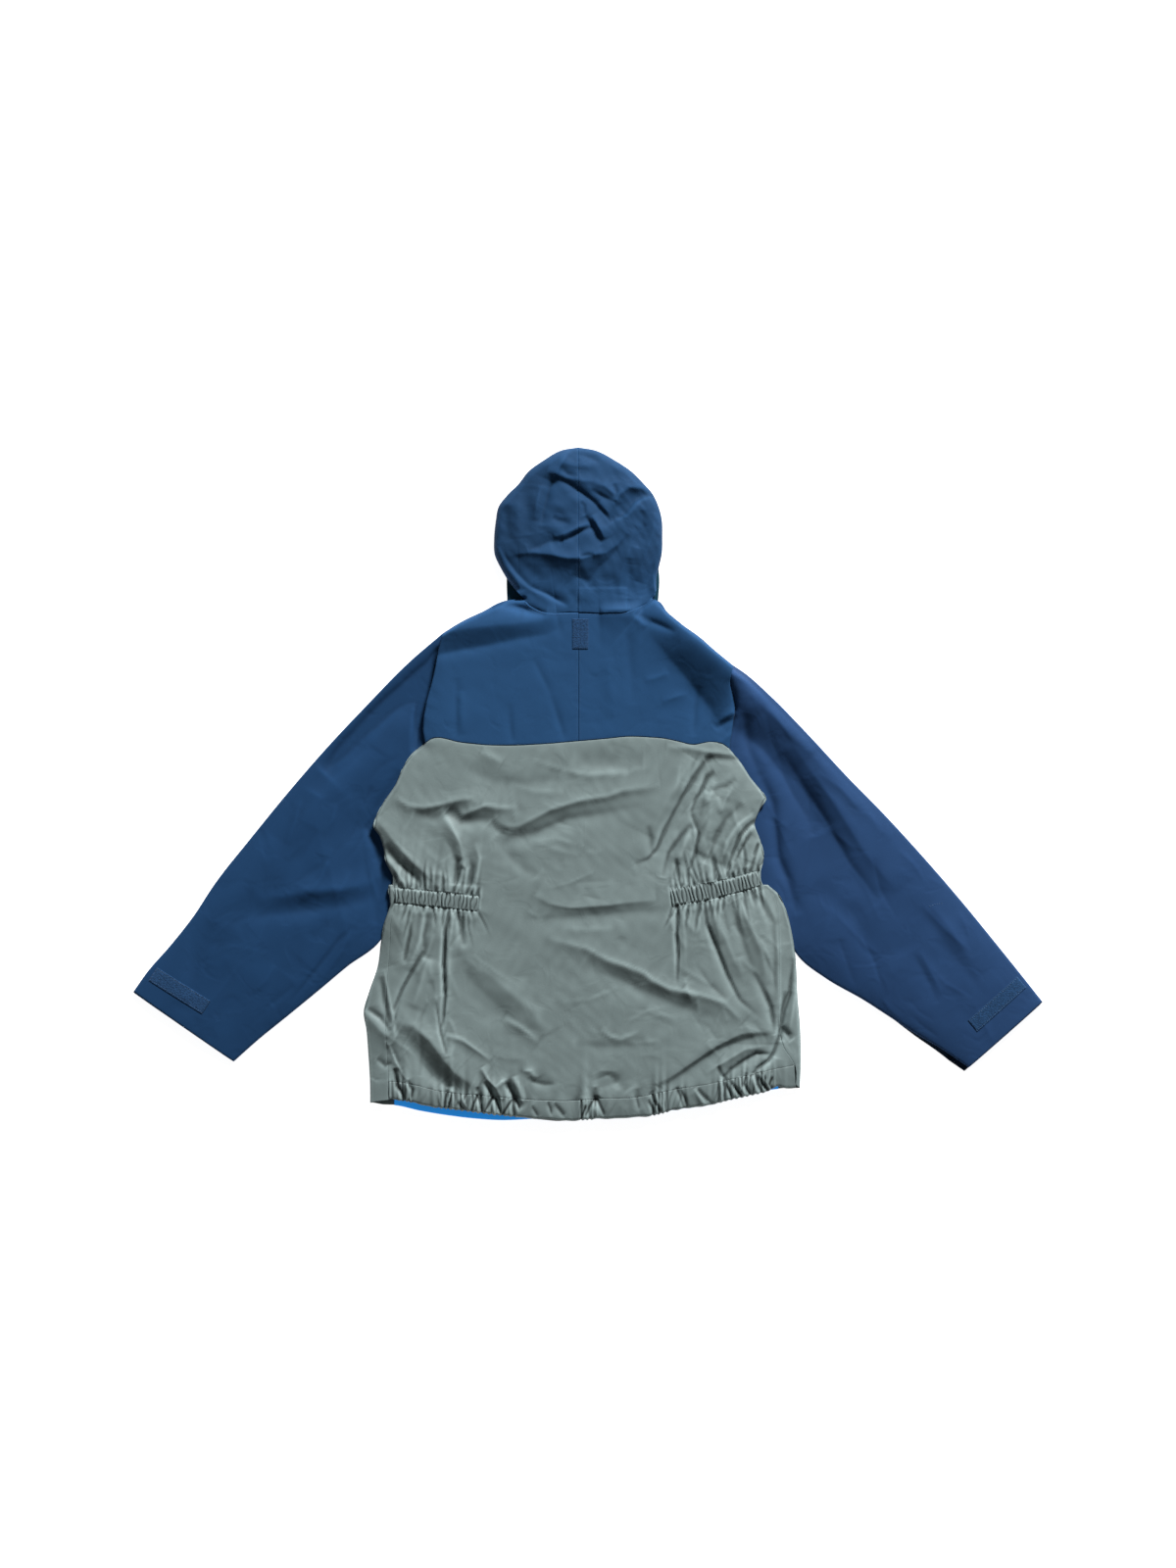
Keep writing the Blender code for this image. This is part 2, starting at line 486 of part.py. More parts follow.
def yoke_top():
    """The yoke's upper edge: a shoulder, the neck seam and the other shoulder, with a column at
    each corner of the neck."""
    last = len(COLUMNS) - 1
    neck = COLUMNS[NECK_COLUMN:last - NECK_COLUMN + 1]
    left = COLUMNS[:NECK_COLUMN + 1] / COLUMNS[NECK_COLUMN]
    shoulder_left = line_points(SHOULDER_LEFT, left)
    shoulder_right = line_points(SHOULDER_RIGHT, 1 - left[::-1])
    across_neck = line_points(NECK_SEAM, (neck - neck[0]) / (neck[-1] - neck[0]))
    return np.concatenate((shoulder_left, across_neck[1:-1], shoulder_right))


def yoke_points(back):
    """The grid of the yoke, from the back body's own upper edge to the neck and shoulders."""
    low = back[-1, :, :2]
    high = yoke_top()
    u = COLUMNS[None, :, None]
    v = YOKE_ROWS[:, None, None]
    left = line_points(ARMHOLE_LEFT[YOKE_SPANS_LEFT::-1], YOKE_ROWS)[:, None, :]
    right = line_points(ARMHOLE_RIGHT[YOKE_SPANS_RIGHT::-1], YOKE_ROWS)[:, None, :]
    plan = (between(left, right, u) + between(low[None], high[None], v)
            - between(between(low[0], low[-1], u), between(high[0], high[-1], u), v))
    plan[:, 0, 0] += 2 * SEAM_GAP
    plan[:, -1, 0] -= 2 * SEAM_GAP
    points = with_height(plan, back_height(plan[..., 0], plan[..., 1]))
    points[0, :, 2] = back[-1, :, 2]
    points[0, :, 1] += SEAM_GAP
    return points


def build_back(collection, cutters):
    """The back body, and the yoke in two halves."""
    back = back_points()
    give_wall(grid_object("back_body", back, "grey_green", collection))
    yoke = yoke_points(back)
    for name, cutter in (("back_yoke_left", "right"), ("back_yoke_right", "left")):
        half = grid_object(name, yoke, "navy", collection)
        give_wall(half)
        cut_with(half, cutters[cutter])
    return back, yoke


def gathered_columns(rows, per_wave):
    """Places along an edge, a fixed number to each gather, and the phase of each place."""
    rows = np.asarray(rows, float)
    phase = np.arange(0, rows[-1, 1] * per_wave + 1) / per_wave
    return np.interp(phase, rows[:, 1], rows[:, 0]), phase


# The hem casing's rows: share of its depth, share of the wave's height, drop of the rolled edge
CASING_ROWS = ((0.0, 0.5, 0.0030), (0.25, 1.0, 0.0004), (1.0, 0.3, 0.0))
CASING_LOWEST = 0.0080
CASING_FADE = 0.02        # share of its length over which the waves start at each end


def build_hem_casing(collection):
    """The hem casing of the back, drawn up on its cord: waves that fade towards its two ends."""
    x, phase = gathered_columns(HEM_GATHERS, POINTS_PER_WAVE)
    low = line_points(HEM_EDGE, np.linspace(0, 1, EDGE_SAMPLES))
    high = line_points(HEM_SEAM, np.linspace(0, 1, EDGE_SAMPLES))
    share = (x - x[0]) / (x[-1] - x[0])
    bottom_y = np.interp(x, low[:, 0], low[:, 1])
    top_x = between(high[0, 0], high[-1, 0], share)
    top_y = np.interp(top_x, high[:, 0], high[:, 1]) - 2 * SEAM_GAP
    rows, depth, drop = (column[:, None] for column in np.array(CASING_ROWS).T)
    plan = np.dstack((between(x, top_x, rows), between(bottom_y, top_y, rows)))
    height = np.maximum(back_height(plan[..., 0], plan[..., 1]), CASING_LOWEST)
    fade = np.clip(np.minimum(share, 1 - share) / CASING_FADE, 0, 1)
    wave = HEM_WAVE * np.cos(2 * np.pi * phase) * fade
    points = with_height(plan, height + wave * depth - drop)
    points[:, 0, 0] += 2 * SEAM_GAP
    points[:, -1, 0] -= 2 * SEAM_GAP
    give_wall(grid_object("back_hem_casing", points, "grey_green", collection))


# The wrapped side: shares of the way from the seam to the fold, then for each line under the fold
# its share of the way from the floor line back to the fold and its share of the fold's height
WRAP_OVER = (0.0, 0.12, 0.45, 0.72)
WRAP_UNDER = ((0.35, 0.75), (0.10, 0.35))
FLOOR_SPANS = 8


def wrapped_side(seam, table, out):
    """One side of the front body for each row: from the side seam over the folded edge and under
    it to the surface. out is -1 on the left and +1 on the right."""
    y = seam[:, 1]
    fold = side_column(table, y, 1)
    floor = side_column(table, y, 3)
    rim = side_column(table, y, 4)
    columns = []
    for share in WRAP_OVER:
        x = between(seam[:, 0] + out * 1.5 * SEAM_GAP, fold, share)
        columns.append(np.stack((x, y, back_height(x, y)), axis=-1))
    columns.append(np.stack((fold, y, rim), axis=-1))
    for share, rise in WRAP_UNDER:
        columns.append(np.stack((between(floor, fold, share), y, rim * rise), axis=-1))
    columns.append(np.stack((floor, y, 0 * y), axis=-1))
    return columns


def front_hem_y(x):
    """The y of the front's hem edge at each x."""
    line = line_points(FRONT_HEM_EDGE, np.linspace(0, 1, EDGE_SAMPLES))
    return np.interp(x, line[:, 0], line[:, 1])


def build_front_body(back, collection):
    """The grey front, which lies on the surface and wraps round both sides to the side seams.
    Returns the plan of its upper edge on the floor."""
    casing_rows = np.array((0.0, 0.5))[:, None]
    seams = []
    for column, line_end in ((0, 0.0), (-1, 1.0)):
        hem = between(line_points(HEM_EDGE, line_end), back[0, column, :2], casing_rows)
        seams.append(np.concatenate((hem, back[:SPLIT_ROW + 1, column, :2])))
    left = wrapped_side(seams[0], SIDE_LEFT, -1.0)
    right = wrapped_side(seams[1], SIDE_RIGHT, 1.0)
    floor = []
    for share in np.linspace(0, 1, FLOOR_SPANS + 1)[1:-1]:
        points = between(left[-1], right[-1], share)
        bend = (1 - np.linspace(0, 1, len(points))) ** 3
        points[:, 1] += (front_hem_y(points[0, 0]) - points[0, 1]) * bend
        floor.append(points)
    rows = np.stack(left + floor + right[::-1], axis=1)
    give_wall(grid_object("front_body", rows, "grey_green", collection, flip=True))
    return rows[-1, len(left) - 1:len(left) + len(floor) + 1, :2]


def build_front_yoke(top_line, collection):
    """The navy front yoke, flat on the surface between the body's upper edge, the armholes'
    undersides and the line of the shoulders and the neck."""
    shares = np.concatenate(([0.0], RING_UNDER[::-1], [1.0]))
    sides = []
    for armhole, inside, corner in ((ARMHOLE_LEFT, 1.0, top_line[0]), (ARMHOLE_RIGHT, -1.0, top_line[-1])):
        edge = line_points(armhole, shares)[::-1]
        edge[:, 0] += inside * 6 * SEAM_GAP
        sides.append(np.concatenate((corner[None] + (0.0, SEAM_GAP), edge)))
    across = np.linspace(0, 1, len(top_line))
    grid = np.stack([between(sides[0], sides[1], share) for share in across], axis=1)
    grid[0] = top_line + (0.0, 1.5 * SEAM_GAP)
    neck = (tuple(sides[0][-1]), *SHOULDER_LEFT[1:4], *SHOULDER_RIGHT[1:-1], tuple(sides[1][-1]))
    chord = between(sides[0][-1], sides[1][-1], across[:, None])
    lift = np.linspace(0, 1, len(grid))[:, None, None] ** 2
    grid = grid + (straight_points(neck, across) - chord)[None] * lift
    give_wall(grid_object("front_yoke", with_height(grid, FRONT_TOP), "navy", collection))


FACING_ENDS = (-0.2915, 0.2880)
FACING_SPANS = 29


def build_hem_facing(collection):
    """The blue facing, a flat band on the inside of the front's hem."""
    x = np.linspace(*FACING_ENDS, FACING_SPANS + 1)
    low = np.column_stack((x, front_hem_y(x) - SEAM_GAP))
    plan = np.stack((low, low + (0.0, HEM_DEPTH)))
    facing = with_height(plan, FRONT_TOP + TRIM_GAP + CLOTH)
    give_wall(grid_object("front_hem_facing", facing, "bright_blue", collection))


# Sleeves: places across a ring, from the outer folded edge to the inner one
RING_TOP = np.array((0.0, 0.02, 0.10, 0.22, 0.36, 0.50, 0.64, 0.78, 0.90, 0.98, 1.0))
RING_UNDER = np.array((0.98, 0.78, 0.50, 0.22, 0.02))
RING_ROWS = np.concatenate((np.linspace(0.0, 0.18, 5), np.linspace(0.18, 1.0, 17)[1:]))
SLEEVE_ROLL = 0.003
ARMHOLE_FADE = 0.35       # share of a sleeve's length over which the armhole's curve fades out
CROWN_TURN = (0.15, 0.45) # shares across a sleeve between which the outer crown becomes the inner
# Height of a sleeve's crown: share of its length, height on the outer side, height on the inner
# side, which lies under the body's own fold near the armhole
SLEEVE_CROWN = ((0.0, 0.0025, 0.0019), (0.12, 0.0060, 0.0019), (0.30, 0.0085, 0.0019),
                (0.42, 0.0085, 0.0080), (0.75, 0.0070, 0.0070), (1.0, 0.0045, 0.0045))


def sleeve_plan(outer, inner, armhole, across, along):
    """Plan of a sleeve laid flat: straight spans between its two edges, bent near the top so
    that the first one is the armhole."""
    start = line_points(outer, along)[:, None, :]
    end = line_points(inner, along)[:, None, :]
    plan = between(start, end, across[None, :, None])
    curve = line_points(armhole, across)
    top, bottom = line_points(armhole, (0.0, 1.0))
    chord = between(top, bottom, across[:, None])
    fade = np.clip(1 - along / ARMHOLE_FADE, 0, 1)[:, None, None] ** 2
    return plan + (curve - chord)[None] * fade


def build_sleeve(name, outer, inner, armhole, flip, collection):
    """A sleeve: rings from the armhole to the cuff, flat where they rest and crowned above."""
    over = sleeve_plan(outer, inner, armhole, RING_TOP, RING_ROWS)
    under = sleeve_plan(outer, inner, armhole, RING_UNDER, RING_ROWS)
    width = np.linalg.norm(over[:, -1] - over[:, 0], axis=-1)[:, None]
    share, outer_crown, inner_crown = np.array(SLEEVE_CROWN).T
    crown_out = np.interp(RING_ROWS, share, outer_crown)[:, None]
    crown_in = np.interp(RING_ROWS, share, inner_crown)[:, None]
    crown = between(crown_out, crown_in, np.interp(RING_TOP, CROWN_TURN, (0, 1))[None])
    bulge = 1 - (2 * RING_TOP[None] - 1) ** 4
    edge = np.minimum(RING_TOP, 1 - RING_TOP)[None] * width
    folds = fold_height(SLEEVE_FOLDS, over[..., 0], over[..., 1]) * bulge
    top = FOLD_EDGE * (1 + rolled(edge, SLEEVE_ROLL)) + crown * bulge + folds
    edge_under = np.minimum(RING_UNDER, 1 - RING_UNDER)[None] * width
    bottom = FOLD_EDGE * (1 - rolled(edge_under, SLEEVE_ROLL))
    rings = np.concatenate((with_height(over, top), with_height(under, bottom)), axis=1)
    give_wall(grid_object(name, rings, "navy", collection, ring=True, flip=flip))


HOOD_ROWS = np.concatenate(([0.0, 0.03], np.linspace(0.1, 0.9, 9), [0.965, 1.0]))
HOOD_RISE = 0.024
HOOD_RISE_REACH = 0.045
HOOD_ROLL = 0.010
HOOD_EDGE = 0.004
HOOD_OPEN = 0.050         # distance from the neck seam over which the hood leaves the yoke's height
HOOD_FOLDS_FULL = 0.012   # height above the hood's edge from which its folds are whole
HOOD_REFINE = 2           # columns of the hood to each column of the yoke's neck
THROAT_TOP = (0.334, 0.380)   # y between which the hood's edge comes down off the throat
# The turn under the hood's edge: reach inwards, reach where it lies on the throat, height
HOOD_TURN = ((0.0015, 0.00165, 0.0014), (0.006, 0.0066, 0.0), (RIM_DEPTH, 0.008, 0.0))
THROAT_LEFT = ((-0.118, 0.2825), (-0.1215, 0.309), (-0.121, 0.330))
THROAT_RIGHT = ((0.1055, 0.2825), (0.1085, 0.309), (0.107, 0.330))
THROAT_SPANS = 6
HOOD_OUTLINE = HOOD_LEFT + HOOD_RIGHT[-2::-1]


def hood_height(x, y):
    """Height of the hood: a low puffed dome that starts from the yoke's height at the neck."""
    outline = line_points(HOOD_OUTLINE, np.linspace(0, 1, EDGE_SAMPLES // 2))
    away, _, _ = measure_from(outline, x, y)
    dome = HOOD_EDGE + HOOD_ROLL * rolled(away, HOOD_ROLL)
    dome = dome + HOOD_RISE * (1 - np.exp(-away / HOOD_RISE_REACH))
    folds = fold_height(HOOD_FOLDS, x, y) * np.clip((dome - HOOD_EDGE) / HOOD_FOLDS_FULL, 0, 1)
    away, _, _ = measure_from(NECK_SEAM, x, y)
    open_share = np.clip(away / HOOD_OPEN, 0, 1)
    share = open_share ** 2 * (3 - 2 * open_share)
    return between(np.minimum(back_height(x, y), dome), dome + folds, share)


def inward(line):
    """For each point of a line that runs with the shape on its right, the step into the shape."""
    along = np.gradient(line, axis=0)
    along /= np.linalg.norm(along, axis=1)[:, None]
    return np.stack((along[:, 1], -along[:, 0]), axis=-1)


def build_hood(yoke, collection, cutters):
    """The hood in two halves, one wall cut down the middle: a puffed dome whose edge turns under
    to the open face. Near the neck the edge lies on the throat instead."""
    last = len(COLUMNS) - 1
    neck = yoke[-1, NECK_COLUMN:last - NECK_COLUMN + 1, :2]
    steps = np.linspace(0, len(neck) - 1, HOOD_REFINE * (len(neck) - 1) + 1)
    low = np.stack([np.interp(steps, np.arange(len(neck)), neck[:, axis]) for axis in (0, 1)], axis=-1)
    high = line_points(HOOD_OUTLINE, np.linspace(0, 1, len(low)))
    low[:, 1] += SEAM_GAP
    plan = between(low[None], high[None], HOOD_ROWS[:, None, None])
    dome = with_height(plan, hood_height(plan[..., 0], plan[..., 1]))
    dome[-1, :, 2] = HOOD_EDGE
    on_throat = np.interp(high[:, 1], THROAT_TOP, (1.0, 0.0))
    floor = (FRONT_TOP + TRIM_GAP) * on_throat
    turn = []
    for reach, throat_reach, height in HOOD_TURN:
        edge = high + inward(high) * between(reach, throat_reach, on_throat)[:, None]
        turn.append(np.column_stack((edge, floor + height)))
    points = np.concatenate((dome, np.stack(turn)))
    for name, cutter in (("hood_left", "right"), ("hood_right", "left")):
        half = grid_object(name, points, "navy", collection)
        give_wall(half)
        cut_with(half, cutters[cutter])


def build_throat(collection):
    """The throat, a flat piece on the surface under the lower edges of the hood."""
    across = np.linspace(0, 1, THROAT_SPANS + 1)[None, :, None]
    grid = between(np.array(THROAT_LEFT)[:, None], np.array(THROAT_RIGHT)[:, None], across)
    give_wall(grid_object("neck_front", with_height(grid, FRONT_TOP), "navy_shade", collection))


def lay_on(obj, target):
    """Drop a flat trim straight down onto a panel."""
    drop = obj.modifiers.new("lay", "SHRINKWRAP")
    drop.target = target
    drop.wrap_method = "PROJECT"
    drop.use_project_z = True
    drop.use_project_x = False
    drop.use_project_y = False
    drop.use_negative_direction = True
    drop.use_positive_direction = False
    drop.offset = TRIM_GAP


ABOVE = 0.08              # height from which a trim is dropped
TAPE_SPANS = (12, 3)      # spans along and across a loop tape on a cuff
PATCH_SPANS = (4, 8)      # spans across and up the patch at the neck


def tape_plan(name, spans):
    """Plan of a tape between its four corners."""
    a, b, c, d = np.array(TAPES[name])
    across = np.linspace(0, 1, spans[0] + 1)[None, :, None]
    up = np.linspace(0, 1, spans[1] + 1)[:, None, None]
    return between(between(d, c, across), between(a, b, across), up)


def build_tapes(collection):
    """The loop tapes: one laid on each cuff, and the patch over the yoke's middle seam."""
    for side in ("left", "right"):
        name = "cuff_tape_" + side
        plan = tape_plan(name, TAPE_SPANS)
        tape = grid_object(name, with_height(plan, ABOVE), "navy_tape", collection)
        lay_on(tape, bpy.data.objects["sleeve_" + side])
        give_wall(tape, TAPE_THICK, 1.0)
    plan = tape_plan("neck_patch", PATCH_SPANS)
    highest = back_height(plan[..., 0], plan[..., 1]).max(axis=1)[:, None]
    points = with_height(plan, highest + 2 * TRIM_GAP)
    give_wall(grid_object("neck_patch", points, "navy_tape", collection), TAPE_THICK, 1.0)


SWELL_LEAST = 0.40        # thickness between two gathers, as a share of the thickness on one


def build_elastic(collection):
    """The elastic casings at the waist, laid on the back body: the wall is thick on each gather
    and thin between them."""
    for name, (top, bottom, waves) in ELASTIC.items():
        phase = np.arange(0, waves * POINTS_PER_WAVE + 1) / POINTS_PER_WAVE
        high, low = line_points(top, phase / waves), line_points(bottom, phase / waves)
        plan = np.stack((low, between(low, high, 0.5), high))
        band = grid_object(name, with_height(plan, ABOVE), "grey_green", collection)
        lay_on(band, bpy.data.objects["back_body"])
        swell = between(SWELL_LEAST, 1.0, (1 + np.cos(2 * np.pi * phase)) / 2)
        group = band.vertex_groups.new(name="gathers")
        for row in range(len(plan)):
            for column, weight in enumerate(swell):
                group.add([row * len(phase) + column], float(weight), "REPLACE")
        wall = give_wall(band, ELASTIC_THICK, 1.0)
        wall.vertex_group = "gathers"


def build_anorak():
    """Make every piece, from the back down to the trims."""
    clear_scene()
    parts = new_collection("anorak_pullover")
    cutters = side_cutters(new_collection("cutters"))
    back, yoke = build_back(parts, cutters)
    build_hem_casing(parts)
    build_front_yoke(build_front_body(back, parts), parts)
    build_hem_facing(parts)
    build_sleeve("sleeve_left", SLEEVE_LEFT_OUTER, SLEEVE_LEFT_INNER, ARMHOLE_LEFT, True, parts)
    build_sleeve("sleeve_right", SLEEVE_RIGHT_OUTER, SLEEVE_RIGHT_INNER, ARMHOLE_RIGHT, False, parts)
    build_hood(yoke, parts, cutters)
    build_throat(parts)
    build_tapes(parts)
    build_elastic(parts)


build_anorak()
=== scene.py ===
"""A hooded anorak pullover laid flat on its front, with its back up.

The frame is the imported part's: metres, +X along the spread sleeves, +Y from the hem to the hood and
+Z up out of the back. Z = 0 is the surface below. Every cut piece is a thin sheet of cloth, worked
out on a grid from its outline, the height at which it lies, and its folds.
"""

import bpy
import numpy as np
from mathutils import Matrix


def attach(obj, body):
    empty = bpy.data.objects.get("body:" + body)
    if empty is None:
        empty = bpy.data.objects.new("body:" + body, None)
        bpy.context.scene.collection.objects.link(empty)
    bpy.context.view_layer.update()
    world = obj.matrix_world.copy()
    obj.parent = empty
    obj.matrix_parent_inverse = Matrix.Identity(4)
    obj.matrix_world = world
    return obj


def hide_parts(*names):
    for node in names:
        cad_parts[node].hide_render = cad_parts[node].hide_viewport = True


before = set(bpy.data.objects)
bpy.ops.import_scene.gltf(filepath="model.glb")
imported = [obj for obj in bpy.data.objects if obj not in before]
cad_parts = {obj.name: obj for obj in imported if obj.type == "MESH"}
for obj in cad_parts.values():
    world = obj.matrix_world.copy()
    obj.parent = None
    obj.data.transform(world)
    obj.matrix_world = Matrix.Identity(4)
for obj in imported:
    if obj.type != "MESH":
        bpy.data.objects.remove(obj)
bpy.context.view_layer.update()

MM = 0.001


# ---- Back body -----------------------------------------------------------------------------------
# One panel of crisp grey-green nylon from the yoke seam to the hem casing. It is cut wider than the
# body and drawn in by elastic at the waist and a cord at the hem, so it lies in long soft folds.

# Seams and edges seen from above, in millimetres
YOKE_SEAM = ((-246, 60), (-236, 67), (-189, 62), (-147, 58), (-110, 58), (-64, 60), (-17, 64), (30, 68),
             (61, 71), (92, 70), (116, 68), (135, 64), (158, 59), (186, 63), (201, 61), (215, 52))
HEM_SEAM = ((-300, -448), (-272, -451), (-221, -463), (-162, -469), (-106, -474), (-27, -477), (18, -474),
            (72, -472), (131, -460), (186, -451), (233, -441), (275, -431), (312.5, -424))
HEM_EDGE = ((-300, -480), (-288, -478), (-236, -487), (-187, -493), (-131, -500), (-90, -504), (-32, -508),
            (1, -506), (66, -503), (98, -500), (131, -492), (186, -484), (218, -476), (275, -464),
            (314.5, -458.5))
SHOULDER_LEFT = ((-218, 228), (-192, 244), (-159, 260), (-122, 277), (-96, 279))
SHOULDER_RIGHT = ((100, 279), (107, 276), (121, 259), (144, 240), (169, 222), (193, 201), (220, 179))
ARMHOLE_LEFT = ((-218, 228), (-226, 200), (-231, 173), (-236, 152), (-243, 127), (-248, 101), (-249, 77),
                (-246, 60), (-252, 0), (-262, -60), (-273.5, -120))
ARMHOLE_RIGHT = ((220, 179), (215, 152), (220, 130), (223, 114), (220, 89), (215, 52), (222, 0), (230, -50),
                 (240, -105))

# The body's sides: y, then the folded side's x, the side seam's x, the x where the front leaves the
# surface, and the height of the folded side. Above the underarm the fold lies on the sleeve.
SIDE_LEFT = (
    (-485, -328.0, -300.0, -324.5, 3.2), (-448, -328.5, -300.0, -325.0, 3.2),
    (-407, -331.0, -302.0, -327.5, 3.2), (-370, -334.0, -304.0, -330.5, 3.2),
    (-345, -338.0, -305.0, -334.0, 3.2), (-311, -329.0, -303.0, -325.0, 3.2),
    (-274, -316.5, -300.0, -312.5, 3.4), (-240, -312.0, -297.5, -305.0, 5.0),
    (-207, -306.0, -296.0, -288.0, 8.8), (-184, -298.0, -291.0, -280.0, 9.5),
    (-154, -300.0, -293.5, -270.5, 9.5), (-139, -295.0, -294.0, -266.0, 9.5),
    (-121, -303.0, -303.0, -260.0, 9.5), (-92, -309.0, -309.0, -260.0, 9.5),
    (-78, -314.0, -314.0, -260.0, 9.5), (-67, -322.0, -322.0, -260.0, 9.5),
    (-50, -319.0, -319.0, -260.0, 9.5), (-30, -309.0, -309.0, -260.0, 9.5),
    (0, -289.0, -289.0, -260.0, 9.5), (25, -278.0, -278.0, -260.0, 9.5),
    (48, -262.0, -262.0, -260.0, 9.3), (60, -246.0, -246.0, -246.0, 9.2))
SIDE_RIGHT = (
    (-460, 320.5, 314.5, 316.5, 3.2), (-424, 322.0, 312.5, 318.5, 3.2),
    (-397, 322.0, 296.0, 318.5, 3.2), (-367, 321.0, 289.0, 317.5, 3.2),
    (-318, 317.0, 289.0, 313.5, 3.2), (-275, 315.0, 289.0, 311.0, 3.4),
    (-255, 313.0, 289.0, 302.0, 5.0), (-215, 306.0, 288.5, 276.0, 8.8),
    (-184, 297.0, 286.0, 260.0, 9.5), (-164, 286.0, 278.0, 251.0, 9.5),
    (-151, 271.0, 264.0, 244.0, 9.5), (-135, 263.0, 261.0, 238.0, 9.5),
    (-111, 266.0, 266.0, 230.0, 9.5), (-86, 261.0, 261.0, 230.0, 9.5),
    (-59, 252.0, 252.0, 230.0, 9.5), (-38, 260.0, 260.0, 230.0, 9.5),
    (-21, 269.0, 269.0, 230.0, 9.5), (-9, 261.0, 261.0, 230.0, 9.5),
    (9, 246.0, 246.0, 230.0, 9.5), (31, 232.0, 232.0, 230.0, 9.4),
    (52, 215.0, 215.0, 215.0, 9.2))

